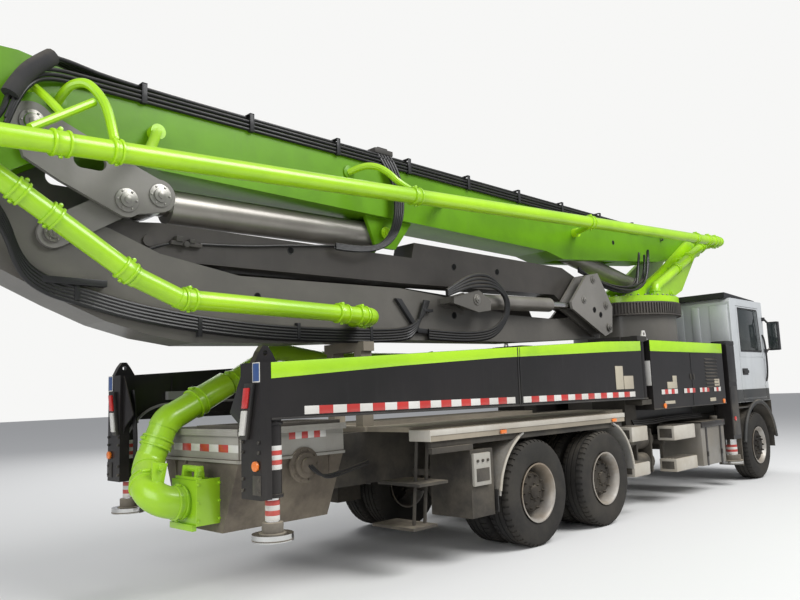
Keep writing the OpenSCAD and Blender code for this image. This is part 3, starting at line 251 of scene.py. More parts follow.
# Every finish: its colours, roughness and clear coat, how much dust, dust on top, streaks and chips it has,
# and what differs from the plain values
lookKeys = ("colour", "second", "rough", "coat", "dust", "top", "streaks", "chips")
plainLook = {"metal": 0.0, "shine": 0.5, "bump": 0.12}
finishes = {
    "limePaint": ((0.37, 0.66, 0.006), (0.29, 0.55, 0.006), 0.34, 0.35, 0.1, 0.1, 0.15, 0.3, {}),
    # Section 1 wears the lime paint darkened as painted shade on its side
    "limePaintedShade": ((0.115, 0.285, 0.003), (0.09, 0.225, 0.003),
                 0.42, 0.12, 0.05, 0.12, 0.3, 0.3, {"shine": 0.2}),
    "boomGrey": ((0.125, 0.117, 0.103), (0.095, 0.09, 0.08), 0.42, 0.2, 0.06, 0.3, 0.4, 0.3, {"shine": 0.3}),
    # Sections 3 to 5 wear the boom grey darkened as painted shade
    "boomGreyPaintedShade": ((0.062, 0.056, 0.05), (0.045, 0.041, 0.037),
                 0.42, 0.2, 0.06, 0.3, 0.4, 0.3, {"shine": 0.25}),
    "linkGrey": ((0.185, 0.175, 0.16), (0.145, 0.138, 0.125), 0.5, 0.1, 0.12, 0.35, 0.3, 0.4, {}),
    "charcoal": ((0.014, 0.0125, 0.013), (0.01, 0.0095, 0.0095),
                 0.4, 0.2, 0.06, 0.4, 0.5, 0.2, {"shine": 0.2}),
    "chassisBlack": ((0.03, 0.029, 0.028), (0.045, 0.042, 0.038),
                     0.65, 0.0, 0.22, 0.4, 0.3, 0.2, {"shine": 0.12}),
    "cabSilver": ((0.5, 0.52, 0.53), (0.44, 0.46, 0.47), 0.32, 0.45, 0.45, 0.35, 0.5, 0.1, {}),
    "deckDust": ((0.3, 0.26, 0.2), (0.21, 0.185, 0.145), 0.82, 0.0, 0.5, 0.7, 0.5, 0.3, {}),
    "fenderMetal": ((0.52, 0.52, 0.51), (0.34, 0.33, 0.31), 0.4, 0.0, 0.5, 0.6, 0.4, 0.3, {"metal": 0.6}),
    "grateBlack": ((0.05, 0.048, 0.045), (0.09, 0.08, 0.07), 0.6, 0.0, 0.4, 0.5, 0.2, 0.6, {"shine": 0.2}),
    "trimBlack": ((0.018, 0.018, 0.019), (0.025, 0.025, 0.026),
                  0.5, 0.1, 0.35, 0.5, 0.3, 0.1, {"shine": 0.25}),
    "barrelGrey": ((0.27, 0.255, 0.23), (0.2, 0.185, 0.165),
                   0.34, 0.1, 0.03, 0.2, 0.4, 0.2, {"metal": 0.45, "bump": 0.02}),
    "rodChrome": ((0.62, 0.62, 0.61), (0.56, 0.56, 0.55), 0.16, 0.0, 0.05, 0.1, 0.1, 0.0, {"metal": 1.0}),
    "engineGrey": ((0.09, 0.09, 0.088), (0.06, 0.058, 0.054), 0.7, 0.0, 0.4, 0.6, 0.4, 0.3, {}),
    "tyreRubber": ((0.022, 0.022, 0.023), (0.034, 0.033, 0.031),
                   0.82, 0.0, 0.07, 0.12, 0.0, 0.0, {"shine": 0.08}),
    "rimSteel": ((0.5, 0.5, 0.49), (0.24, 0.19, 0.14), 0.42, 0.0, 0.35, 0.2, 0.0, 0.6, {"metal": 0.5}),
    "hubSteel": ((0.026, 0.024, 0.022), (0.018, 0.016, 0.015),
                 0.6, 0.0, 0.12, 0.3, 0.0, 0.3, {"metal": 0.2, "shine": 0.15}),
    "hoseBlack": ((0.009, 0.009, 0.01), (0.014, 0.014, 0.014),
                  0.4, 0.2, 0.04, 0.2, 0.0, 0.0, {"shine": 0.25}),
    "boltSteel": ((0.3, 0.29, 0.27), (0.2, 0.19, 0.17), 0.4, 0.0, 0.2, 0.4, 0.0, 0.3, {"metal": 0.7}),
    # Near-black for the discs that stand in for openings: painted shade inside the holes
    "holePaintedShade": ((0.006, 0.006, 0.006), (0.01, 0.01, 0.01), 0.8, 0.0, 0.05, 0.3, 0.0, 0.0, {"shine": 0.1}),
    "lampOrange": ((0.85, 0.2, 0.01), (0.7, 0.15, 0.01), 0.18, 0.6, 0.15, 0.3, 0.1, 0.0, {}),
    "lampRed": ((0.55, 0.012, 0.01), (0.4, 0.01, 0.01), 0.18, 0.6, 0.15, 0.3, 0.1, 0.0, {}),
    "tapeRed": ((0.5, 0.02, 0.016), (0.38, 0.02, 0.016), 0.3, 0.3, 0.25, 0.3, 0.4, 0.3, {}),
    "tapeWhite": ((0.66, 0.65, 0.62), (0.55, 0.53, 0.49), 0.35, 0.3, 0.3, 0.3, 0.5, 0.2, {}),
    "plateBlue": ((0.02, 0.07, 0.24), (0.02, 0.06, 0.19), 0.35, 0.3, 0.2, 0.3, 0.3, 0.2, {}),
    "plateBeige": ((0.42, 0.38, 0.29), (0.35, 0.31, 0.24), 0.5, 0.1, 0.3, 0.4, 0.5, 0.1, {}),
    "stepWhite": ((0.5, 0.48, 0.43), (0.38, 0.35, 0.3), 0.6, 0.0, 0.55, 0.7, 0.5, 0.5, {}),
    "conduitGrey": ((0.24, 0.24, 0.235), (0.16, 0.155, 0.15), 0.5, 0.0, 0.2, 0.5, 0.0, 0.1, {}),
    "wrapGrey": ((0.035, 0.035, 0.038), (0.055, 0.053, 0.05),
                 0.85, 0.0, 0.1, 0.3, 0.0, 0.0, {"bump": 0.5, "shine": 0.1}),
    "footDust": ((0.1, 0.09, 0.075), (0.05, 0.045, 0.04), 0.75, 0.0, 0.5, 0.7, 0.2, 0.5, {}),
    "panelGrey": ((0.33, 0.32, 0.29), (0.24, 0.23, 0.2), 0.5, 0.1, 0.35, 0.5, 0.7, 0.5, {}),
    "hopperBrown": ((0.1, 0.082, 0.065), (0.055, 0.046, 0.038),
                    0.75, 0.0, 0.45, 0.6, 0.7, 0.6, {"shine": 0.25}),
    "tankSilver": ((0.27, 0.26, 0.24), (0.19, 0.18, 0.16), 0.36, 0.0, 0.3, 0.5, 0.5, 0.2, {"metal": 0.5}),
    "plasticGrey": ((0.045, 0.048, 0.05), (0.036, 0.038, 0.04),
                    0.6, 0.0, 0.15, 0.5, 0.3, 0.0, {"shine": 0.25}),
    "lampGlass": ((0.55, 0.57, 0.58), (0.45, 0.47, 0.48), 0.08, 0.8, 0.25, 0.3, 0.2, 0.0, {}),
}
dustColour = (0.36, 0.31, 0.235)


def newPaint(name):
    material = bpy.data.materials.new(name)
    material.use_nodes = True
    tree = material.node_tree
    place = tree.nodes.new("ShaderNodeTexCoord").outputs["Object"]
    return material, tree, tree.nodes["Principled BSDF"], place


def makeFinish(name):
    look = {**plainLook, **dict(zip(lookKeys, finishes[name])), **finishes[name][-1]}
    material, tree, shader, place = newPaint(name)
    tint = spread(tree, noise(tree, place, 1.3, 5.0, 0.6), 0.35, 0.68)
    colour = blendColour(tree, tint, look["colour"], look["second"])
    bare = tuple(0.5 * c + 0.06 for c in look["second"])
    chips = useGroup(tree, chipEffect, Vector=place, Amount=look["chips"])
    colour = blendColour(tree, maths(tree, "MULTIPLY", chips, min(1.0, look["chips"] * 1.6)), colour, bare)
    streaks = useGroup(tree, streakEffect, Vector=place, Amount=look["streaks"])
    colour = blendColour(tree, streaks, colour, tuple(0.55 * c + 0.03 for c in look["colour"]))
    dust = useGroup(tree, dustEffect, Vector=place, Amount=look["dust"], Top_Share=look["top"])
    colour = blendColour(tree, dust, colour, dustColour)
    tree.links.new(colour, shader.inputs["Base Color"])
    gloss = spread(tree, dust, 0.0, 0.7, (look["rough"], 0.9))
    fine = noise(tree, place, 90.0, 2.0)
    grain = maths(tree, "MULTIPLY", maths(tree, "SUBTRACT", fine, 0.5), 0.12)
    tree.links.new(maths(tree, "ADD", gloss, grain), shader.inputs["Roughness"])
    shader.inputs["Metallic"].default_value = look["metal"]
    shader.inputs["Specular IOR Level"].default_value = look["shine"]
    if look["coat"]:
        tree.links.new(spread(tree, dust, 0.0, 0.4, (look["coat"], 0.0)), shader.inputs["Coat Weight"])
        shader.inputs["Coat Roughness"].default_value = 0.15
    bump = tree.nodes.new("ShaderNodeBump")
    bump.inputs["Strength"].default_value = look["bump"]
    bump.inputs["Distance"].default_value = 0.004
    height = maths(tree, "ADD", noise(tree, place, 30.0, 4.0), maths(tree, "MULTIPLY", dust, 0.6))
    tree.links.new(height, bump.inputs["Height"])
    tree.links.new(bump.outputs[0], shader.inputs["Normal"])
    return material


paint = {name: makeFinish(name) for name in finishes}


glassLook = {"colour": (0.03, 0.04, 0.042), "dust": (0.25, 0.24, 0.21), "clear": 0.35, "bend": 1.45}


def makeGlass():
    glass, tree, shader, place = newPaint("cabGlass")
    dust = useGroup(tree, dustEffect, Vector=place, Amount=0.25, Top_Share=0.2, High_Z=2.9, Low_Z=1.6)
    tree.links.new(blendColour(tree, dust, glassLook["colour"], glassLook["dust"]), shader.inputs["Base Color"])
    tree.links.new(spread(tree, dust, 0.0, 0.6, (0.04, 0.5)), shader.inputs["Roughness"])
    shader.inputs["Transmission Weight"].default_value = glassLook["clear"]
    shader.inputs["IOR"].default_value = glassLook["bend"]
    return glass


paint["cabGlass"] = makeGlass()

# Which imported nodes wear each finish
wearers = {
    "chassisBlack": "chassis_frame axles side_gear knuckle_left knuckle_right", "engineGrey": "engine",
    "cabSilver": "cab_shell door_left door_right", "cabGlass": "cab_glass",
    "trimBlack": "cab_interior front_bumper mirrors", "boomGrey": "pedestal boom_2", "deckDust": "deck",
    "charcoal": "cabinets rear_arm_left rear_arm_right front_arm_left front_arm_right",
    "fenderMetal": "fenders", "barrelGrey": "pump_unit lift_barrel knee_barrel elbow_barrel",
    "hopperBrown": "hopper", "grateBlack": "hopper_grate", "limePaint": "delivery_line turret pipe_1 pipe_2",
    "rodChrome": "lift_rod knee_rod elbow_rod rear_leg_left rear_leg_right front_leg_left front_leg_right",
    # boom_1's darker lime and the darker grey of boom_3 to boom_5 are painted shade
    "limePaintedShade": "boom_1", "boomGreyPaintedShade": "boom_3 boom_4 boom_5", "linkGrey": "knee_rocker knee_link elbow_rocker",
    "tyreRubber": "wheel_front_left wheel_front_right wheel_middle_left wheel_middle_right wheel_rear_left "
                  "wheel_rear_right",
}
for finish, names in wearers.items():
    for name in names.split():
        slots = nodes[name].material_slots
        for index in range(len(slots)):
            slots[index].material = paint[finish]
print("finishes on the packed nodes:", sum(len(names.split()) for names in wearers.values()))


# Ways to make and finish a piece
def selectOnly(*things):
    bpy.ops.object.select_all(action="DESELECT")
    for thing in things:
        thing.select_set(True)
    bpy.context.view_layer.objects.active = things[0]


def inEditMode(piece, *steps):
    selectOnly(piece)
    bpy.ops.object.mode_set(mode="EDIT")
    bpy.ops.mesh.select_all(action="SELECT")
    for step, options in steps:
        step(**options)
    bpy.ops.object.mode_set(mode="OBJECT")


def applyModifier(piece, kind, **settings):
    selectOnly(piece)
    bpy.ops.object.modifier_add(type=kind)
    modifier = piece.modifiers[-1]
    for label, value in settings.items():
        setattr(modifier, label, value)
    bpy.ops.object.modifier_apply(modifier=modifier.name)


def joinPieces(pieces):
    selectOnly(*pieces)
    bpy.ops.object.join()
    return bpy.context.object


def cutOut(piece, cutter):
    applyModifier(piece, "BOOLEAN", operation="DIFFERENCE", object=cutter, solver="EXACT")
    bpy.data.objects.remove(cutter)


# Joins a list of parts, and gives the piece its name, bevel in mm, finish and body
def dress(piece, name, finish, body, soften, inner=None):
    if isinstance(piece, list):
        piece = joinPieces(piece)
    piece.name = name
    if soften:
        applyModifier(piece, "BEVEL", width=soften / 1000, segments=2, limit_method="ANGLE",
                      angle_limit=math.radians(42))
    selectOnly(piece)
    bpy.ops.object.shade_smooth_by_angle(angle=math.radians(35))
    piece.data.materials.clear()
    piece.data.materials.append(paint[finish])
    if inner:
        # A second finish on the faces near one axis along Y
        axis, reach, second = inner
        piece.data.materials.append(paint[second])
        for face in piece.data.polygons:
            near = math.hypot(face.center.x - axis.x, face.center.z - axis.z) < reach
            face.material_index = 1 if near else 0
    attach(piece, body)
    return piece


# A block between low and high X, Y and Z
def makeBlock(x, y, z):
    middle = ((low + high) / 2 for low, high in (x, y, z))
    bpy.ops.mesh.primitive_cube_add(size=0.001, location=at(*middle))
    piece = bpy.context.object
    piece.scale = (x[1] - x[0], y[1] - y[0], z[1] - z[0])
    bpy.ops.object.transform_apply(location=True, rotation=True, scale=True)
    return piece


# Blocks from rows of low and high X, Y and Z
def makeBlocks(rows):
    return [makeBlock(row[:2], row[2:4], row[4:]) for row in rows]


# A plate from its outline, in X and Z (facing "y"), Y and Z ("x") or X and Y ("z"), between two depths
def makePlate(outline, depths, facing="y"):
    bpy.ops.mesh.primitive_circle_add(vertices=len(outline), radius=1, fill_type="NGON")
    piece = bpy.context.object
    for vertex, (a, b) in zip(piece.data.vertices, outline):
        spot = {"y": (a, depths[0], b), "x": (depths[0], a, b), "z": (a, b, depths[0])}[facing]
        vertex.co = at(*spot)
    deep = (depths[1] - depths[0]) / 1000
    move = {"y": (0, deep, 0), "x": (deep, 0, 0), "z": (0, 0, deep)}[facing]
    inEditMode(piece, (bpy.ops.mesh.extrude_region_move, {"TRANSFORM_OT_translate": {"value": move}}),
               (bpy.ops.mesh.select_all, {"action": "SELECT"}),
               (bpy.ops.mesh.normals_make_consistent, {"inside": False}))
    return piece


turns = {"x": (0, math.pi / 2, 0), "y": (math.pi / 2, 0, 0), "z": (0, 0, 0)}


# A round bar or disc at its middle, along one axis
def makeRound(place, radius, length, along="y", sides=32):
    bpy.ops.mesh.primitive_cylinder_add(vertices=sides, radius=radius / 1000, depth=length / 1000,
                                        location=at(*place), rotation=turns[along])
    bpy.ops.object.transform_apply(location=True, rotation=True, scale=True)
    return bpy.context.object


# A tube or hose through points, bent softly at each
def makeTube(points, radius, fine=6, sides=3):
    bpy.ops.curve.primitive_nurbs_path_add()
    piece = bpy.context.object
    piece.location = (0, 0, 0)
    spline = piece.data.splines[0]
    if len(points) < len(spline.points):
        piece.data.splines.clear()
        spline = piece.data.splines.new("NURBS")
    spline.points.add(len(points) - len(spline.points))
    for knot, point in zip(spline.points, points):
        knot.co = (*at(*point), 1)
    spline.order_u = min(3, len(points))
    spline.use_endpoint_u = True
    spline.resolution_u = fine
    piece.data.dimensions = "3D"
    piece.data.bevel_depth = radius / 1000
    piece.data.bevel_resolution = sides
    piece.data.use_fill_caps = True
    selectOnly(piece)
    bpy.ops.object.convert(target="MESH")
    return bpy.context.object


# A ring or turned piece from its section: radius and place along Y, in metres, turned about Y
def makeTurned(section, steps, closed=True):
    bpy.ops.mesh.primitive_circle_add(vertices=len(section), radius=1, fill_type="NOTHING")
    piece = bpy.context.object
    for vertex, (radius, along) in zip(piece.data.vertices, section):
        vertex.co = (radius, along, 0)
    if not closed:
        for edge in piece.data.edges:
            edge.select = set(edge.vertices) == {0, len(section) - 1}
        for vertex in piece.data.vertices:
            vertex.select = vertex.index in (0, len(section) - 1)
        selectOnly(piece)
        bpy.ops.object.mode_set(mode="EDIT")
        bpy.ops.mesh.select_mode(type="EDGE")
        bpy.ops.mesh.delete(type="EDGE_FACE")
        bpy.ops.object.mode_set(mode="OBJECT")
    inEditMode(piece, (bpy.ops.mesh.select_mode, {"type": "VERT"}),
               (bpy.ops.mesh.select_all, {"action": "SELECT"}),
               (bpy.ops.mesh.spin, {"steps": steps, "angle": 2 * math.pi, "center": (0, 0, 0),
                                    "axis": (0, 1, 0)}),
               (bpy.ops.mesh.select_all, {"action": "SELECT"}),
               (bpy.ops.mesh.remove_doubles, {"threshold": 0.0002}),
               (bpy.ops.mesh.normals_make_consistent, {"inside": False}))
    return piece


# A copy with its own mesh, moved by metres and turned about the origin first
def copyPiece(piece, move=(0, 0, 0), turn=None, mirrorY=False):
    selectOnly(piece)
    bpy.ops.object.duplicate(linked=False)
    twin = bpy.context.object
    twin.matrix_world = Matrix.Translation(Vector(move)) @ (turn or Matrix.Identity(4)) @ twin.matrix_world
    if mirrorY:
        twin.matrix_world = Matrix.Scale(-1, 4, (0, 1, 0)) @ twin.matrix_world
    bpy.ops.object.transform_apply(location=True, rotation=True, scale=True)
    if mirrorY:
        inEditMode(twin, (bpy.ops.mesh.normals_make_consistent, {"inside": False}))
    return twin


# Copies of a small piece on a circle about the Y axis
def ringOf(piece, count):
    copies = [piece] + [copyPiece(piece, turn=Matrix.Rotation(2 * math.pi * k / count, 4, "Y"))
                        for k in range(1, count)]
    return joinPieces(copies)


# Pushes the faces whose middles pass a test in or out along their normals
def raiseFaces(piece, picks, by):
    inEditMode(piece, (bpy.ops.mesh.select_mode, {"type": "FACE"}),
               (bpy.ops.mesh.select_all, {"action": "DESELECT"}))
    for face in piece.data.polygons:
        face.select = picks(face.center)
    bpy.ops.object.mode_set(mode="EDIT")
    bpy.ops.mesh.extrude_region_shrink_fatten(TRANSFORM_OT_shrink_fatten={"value": by})
    bpy.ops.mesh.select_mode(type="VERT")
    bpy.ops.object.mode_set(mode="OBJECT")


# Which of so many equal strips round an axis a spot lies in
def stripAt(a, b, count):
    return int(math.atan2(b, a) / (2 * math.pi) % 1.0 * count)


# Points on a circle, as two distances from its middle
def onCircle(count, radius):
    angles = [2 * math.pi * k / count for k in range(count)]
    return [(radius * math.cos(angle), radius * math.sin(angle)) for angle in angles]


sides = (("right", -1), ("left", 1))


# Low and high Y on one side, from two distances to the middle
def outwards(sign, near, far):
    return sorted((sign * near, sign * far))


# The same block on both sides
def makePair(x0, x1, near, far, z0, z1):
    return [makeBlock((x0, x1), outwards(sign, near, far), (z0, z1)) for side, sign in sides]


# Wheels, made about the origin with the outer side towards -Y: sections in metres, rings of nuts, hand holes
tyreHalf = [(0.283, -0.105), (0.300, -0.130), (0.345, -0.143), (0.400, -0.1495), (0.450, -0.149),
            (0.490, -0.141), (0.508, -0.133), (0.521, -0.121), (0.5285, -0.108), (0.530, -0.068),
            (0.516, -0.064), (0.516, -0.055), (0.530, -0.051), (0.530, -0.008), (0.517, -0.005)]
wheelLook = {
    "tyre": tyreHalf + [(radius, -along) for radius, along in reversed(tyreHalf)],
    "frontRim": [(0.296, -0.146), (0.289, -0.132), (0.276, -0.118), (0.268, -0.08), (0.262, 0.0), (0.268, 0.09),
                 (0.276, 0.118), (0.289, 0.132), (0.296, 0.146), (0.284, 0.146), (0.262, 0.10), (0.250, 0.0),
                 (0.250, -0.060), (0.238, -0.078), (0.192, -0.096), (0.166, -0.112), (0.090, -0.112),
                 (0.090, -0.126), (0.170, -0.126), (0.197, -0.109), (0.246, -0.091), (0.262, -0.112),
                 (0.282, -0.146)],
    "rearRim": [(0.296, -0.146), (0.289, -0.132), (0.276, -0.118), (0.268, -0.08), (0.262, 0.0), (0.268, 0.09),
                (0.280, 0.12), (0.292, 0.144), (0.280, 0.144), (0.262, 0.118), (0.240, 0.110), (0.205, 0.136),
                (0.170, 0.150), (0.090, 0.150), (0.090, 0.136), (0.172, 0.136), (0.212, 0.120), (0.244, 0.088),
                (0.252, 0.0), (0.255, -0.08), (0.264, -0.118), (0.281, -0.146)],
    "frontHub": [(0.0, -0.158), (0.055, -0.157), (0.066, -0.150), (0.070, -0.130), (0.092, -0.128),
                 (0.100, -0.122), (0.100, -0.05), (0.0, -0.05)],
    "rearHub": [(0.0, -0.105), (0.050, -0.104), (0.064, -0.098), (0.070, -0.082), (0.100, -0.080),
                (0.150, -0.070), (0.186, -0.062), (0.200, -0.046), (0.206, 0.0), (0.206, 0.125), (0.0, 0.13)],
    "frontNuts": [(-0.136, 10, 0.141, 0.016), (-0.135, 8, 0.081, 0.008)],
    "rearNuts": [(-0.070, 10, 0.168, 0.014), (-0.083, 8, 0.086, 0.008)],
    "frontDisc": -0.10, "rearDisc": 0.125, "holeCircle": 0.217, "holeRadius": 0.024, "holes": 10,
    "strips": 144, "shoulder": 0.512, "treadHalf": 0.067, "notch": -0.009, "discReach": 0.236,
}
# Middle of each axle's wheel along X and Y, in mm and metres, and how far its tyres stand to either side
axles = {"front": (5700, -1.045, (0,)), "middle": (675, -0.925, (-0.17, 0.17)),
         "rear": (-675, -0.925, (-0.17, 0.17))}


def isNotch(spot):
    outer = math.hypot(spot.x, spot.z) > wheelLook["shoulder"] and abs(spot.y) > wheelLook["treadHalf"]
    return outer and stripAt(spot.x, spot.z, wheelLook["strips"]) % 3 == 0


def makeRim(section, discAt):
    rim = makeTurned(wheelLook[section], 72)
    bpy.ops.mesh.primitive_cylinder_add(vertices=20, radius=wheelLook["holeRadius"], depth=0.09,
                                        rotation=turns["y"], location=(wheelLook["holeCircle"], 0, 0))
    bpy.ops.object.transform_apply(location=True, rotation=True, scale=True)
    cutter = ringOf(bpy.context.object, wheelLook["holes"])
    cutter.location.y = discAt
    cutOut(rim, cutter)
    return rim


def makeNuts(outerY, count, circle, radius):
    both = []
    for corners, size, depth, shift in ((6, radius, 0.026, 0), (12, radius * 0.62, 0.044, 0.005)):
        bpy.ops.mesh.primitive_cylinder_add(vertices=corners, radius=size, depth=depth, rotation=turns["y"],
                                            location=(circle, outerY - shift, 0))
        both.append(bpy.context.object)
    nut = joinPieces(both)
    bpy.ops.object.transform_apply(location=True, rotation=True, scale=True)
    return ringOf(nut, count)


def makeWheelKit(end):
    hub = [makeTurned(wheelLook[end + "Hub"], 40, closed=False)]
    hub += [makeNuts(*ring) for ring in wheelLook[end + "Nuts"]]
    return makeRim(end + "Rim", wheelLook[end + "Disc"]), joinPieces(hub)


def makeWheels():
    tyre = makeTurned(wheelLook["tyre"], wheelLook["strips"])
    raiseFaces(tyre, isNotch, wheelLook["notch"])
    kits = {end: makeWheelKit(end) for end in ("front", "rear")}
    for side, sign in sides:
        for axle, (along, across, shifts) in axles.items():
            rim, hub = kits["front" if axle == "front" else "rear"]
            name, tag, flip = f"wheel_{axle}_{side}", axle.title() + side.title(), sign > 0
            middle = at(along, 0, axleHeight) + Vector((0, across, 0))
            spots = [middle + Vector((0, shift, 0)) for shift in shifts]
            tyres = [copyPiece(tyre, spot, mirrorY=flip) for spot in spots]
            # The inner one of twin rims is turned round
            rims = [copyPiece(rim, spot, Matrix.Rotation(math.pi * k, 4, "Z"), flip)
                    for k, spot in enumerate(spots)]
            rubber = dress(tyres, "tyre" + tag, "tyreRubber", name, 0)
            dress(rims, "rim" + tag, "rimSteel", name, 1.5, (middle, wheelLook["discReach"], "hubSteel"))
            dress(copyPiece(hub, spots[0], mirrorY=flip), "hub" + tag, "hubSteel", name, 1.0)
            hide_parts(name)
    for spare in (tyre, *kits["front"], *kits["rear"]):
        bpy.data.objects.remove(spare)


makeWheels()
print("wheels made")


# A round bar from one point to another, for collars, lugs and braces
def makeBar(start, end, radius, sides=24):
    a, b = at(*start), at(*end)
    turn = (b - a).to_track_quat("Z", "Y").to_euler()
    bpy.ops.mesh.primitive_cylinder_add(vertices=sides, radius=radius / 1000, depth=(b - a).length,
                                        location=(a + b) / 2, rotation=turn)
    bpy.ops.object.transform_apply(location=True, rotation=True, scale=True)
    return bpy.context.object


# Pieces made of blocks: finish, body, bevel, and each block's X, distance from the middle and Z
def makeSideBlocks(table, side="", sign=1):
    for name, (finish, body, soften, blocks) in table.items():
        parts = [makeBlock((x0, x1), outwards(sign, near, far), (z0, z1))
                 for x0, x1, near, far, z0, z1 in blocks]
        dress(parts, name + side.title(), finish, body.format(side), soften)


# Parts that are white and red in turn, as one piece of each colour
def dressBands(parts, names, body, soften=0.4):
    for first, name in enumerate(names):
        dress(parts[first::2], name, ("tapeWhite", "tapeRed")[first], body, soften)


# White and red tape along a side, from one X and Z to another
def makeTape(name, fromXZ, toXZ, depths, body, count, height=62):
    slices = []
    for k in range(count):
        ends = ([a + (b - a) * share for a, b in zip(fromXZ, toXZ)] for share in (k / count, (k + 1) / count))
        (x0, z0), (x1, z1) = ends
        slices.append(makePlate([(x0, z0), (x1, z1), (x1, z1 + height), (x0, z0 + height)], depths))
    dressBands(slices, (name + "White", name + "Red"), body)


# Rear outrigger arms: lime stripe, the joint between the two lengths, tape, ribs and bare plates
armLook = {
    "stripe": [(-3946, 1838), (-2619, 1911), (-1215, 1988), (800, 2098), (1716, 2126), (1716, 2004),
               (800, 1974), (-1215, 1893), (-2619, 1813), (-3946, 1722)],
    "tapes": [((-3650, 1452), (-1010, 1440), 19), ((-870, 1440), (1490, 1434), 17)], "face": -4041,
    "lenses": (("lampRed", 1512, 1660, "lampRed"), ("lampWhite", 1320, 1498, "tapeWhite")),
    "sleeve": {"Red": ("tapeRed", 0.6, [(1120, 73.6, 34), (1188, 73.6, 34)]),
               "White": ("tapeWhite", 0.6, [(1086, 73.4, 34), (1154, 73.4, 34), (1222, 73.4, 34)]),
               "Lips": ("charcoal", 4, [(884, 82, 26), (1400, 84, 24)])},
}
armBlocks = {
    "armRibs": ("charcoal", "rear_arm_{}", 1.5, [(x, x + 14, 1046, 1061, 1450, 1830)
                                                 for x in range(-3500, 1301, 800)]
                + [(-3950, 1600, 1050, 1061, 1452, 1466)]),
    "armPlates": ("plateBeige", "rear_arm_{}", 1, [(1030, 1210, 1250, 1256, 1530, 1810),
                                                   (1225, 1460, 1250, 1256, 1530, 1690)]),
    "bluePlate": ("plateBlue", "rear_arm_{}", 1, [(-4046, -4041, 1166, 1242, 1704, 1832)]),
    "bluePlateFrame": ("tapeWhite", "rear_arm_{}", 0.8, [(-4044, -4041, 1158, 1249, 1696, 1839)]),
}


def dressArm(side, sign):
    body, name = f"rear_arm_{side}", side.title()
    makeSideBlocks(armBlocks, side, sign)
    dress(makePlate(armLook["stripe"], outwards(sign, 1250, 1253)), f"armStripe{name}", "limePaint", body, 0.8)
    edge = outwards(sign, 1250, 1256)
    trims = [makeBlock((-936, -924), edge, (1412, 2000)), makeBlock((-900, -894), edge, (1412, 2000)),
             makePlate([(-3948, 1426), (1716, 1397), (1716, 1410), (-3948, 1440)], edge)]
    dress(trims, f"armTrim{name}", "trimBlack", body, 0.6)
    for k, (start, end, count) in enumerate(armLook["tapes"]):
        makeTape(f"armTape{k}{name}", start, end, outwards(sign, 1250, 1252), body, count)
    duct = [makeTube([(-3945, sign * 1030, 1310), (-3880, sign * 1030, 1420), (-3700, sign * 1030, 1545),
                      (-3450, sign * 1034, 1570), (-2400, sign * 1034, 1575), (1500, sign * 1034, 1620)], 13),
            makeBlock((-3560, -3380), outwards(sign, 1000, 1061), (1600, 1680))]
    dress(duct, f"armDuct{name}", "conduitGrey", body, 0)


# The arm's rear end: slanted lamp board, marker lamp, hinge bolts, and hoses and sleeve of the jack leg
def dressArmEnd(side, sign):
    arm, name, face = f"rear_arm_{side}", side.title(), armLook["face"]
    board = makePlate([(sign * 1012, 1290), (sign * 1105, 1290), (sign * 1195, 1690), (sign * 1085, 1690)],
                      (face - 26, face), "x")
    dress(board, f"lampBoard{name}", "trimBlack", arm, 4)
    for lens, low, high, finish in armLook["lenses"]:
        shift, tilt = (low - 1290) * 0.2, (high - low) * 0.2
        outline = [(sign * (1024 + shift), low), (sign * (1090 + shift), low),
                   (sign * (1090 + shift + tilt), high), (sign * (1024 + shift + tilt), high)]
        dress(makePlate(outline, (face - 44, face - 24), "x"), lens + name, finish, arm, 6)
    dress(makeRound((face - 12, sign * 1196, 1106), 36, 24, "x"), f"markerLamp{name}", "lampOrange", arm, 6)
    hinge = [makeRound((face - 4, sign * y, z), 13, 16, "x", 6)
             for y in (1024, 1226) for z in (930, 1010, 1200, 1270)]
    hinge.append(makeBlock((face - 6, face), outwards(sign, 1150, 1246), (905, 1040)))
    dress(hinge, f"armEndBolts{name}", "trimBlack", arm, 1.5)
    hoses = [makeTube([(-3935, sign * (990 - 24 * k), 1700), (-3925, sign * (970 - 24 * k), 1450),
                       (-3905, sign * (985 - 24 * k), 1180), (-3890, sign * (1040 - 10 * k), 960),
                       (-3885, sign * (1072 - 4 * k), 900)], 11) for k in range(3)]
    dress(hoses, f"legHoses{name}", "hoseBlack", arm, 0)
    for label, (finish, bevel, rounds) in armLook["sleeve"].items():
        bands = [makeRound((-3880, sign * 1150, z), radius, length, "z", 40) for z, radius, length in rounds]
        dress(bands, f"sleeve{label}{name}", finish, arm, bevel)


# The jack legs' lower ends: knuckle, bands of tape and the round foot
def dressLeg(leg, x, y, low, radius):
    knuckle = [makeRound((x, y, low + 92), radius * 1.5, 76, "z", 40),
               makeRound((x, y, low + 44), radius * 1.9, 24, "z", 40),
               makeRound((x, y, low + 12), 150.5, 20, "z", 48)]
    dress(knuckle, f"{leg}Foot", "footDust", leg, 6)
    bands = [makeRound((x, y, low + 158 + k * 36), radius + 1.2, 36, "z", 40) for k in range(4)]
    dressBands(bands, (f"{leg}Tapewhite", f"{leg}Tapered"), leg, 0.6)


for side, sign in sides:
    dressArm(side, sign)
    dressArmEnd(side, sign)
    dressLeg(f"rear_leg_{side}", -3880, sign * 1150, 570, 52)
    dressLeg(f"front_leg_{side}", 4650, sign * 1140, 330, 80)
print("rear arms and legs dressed")

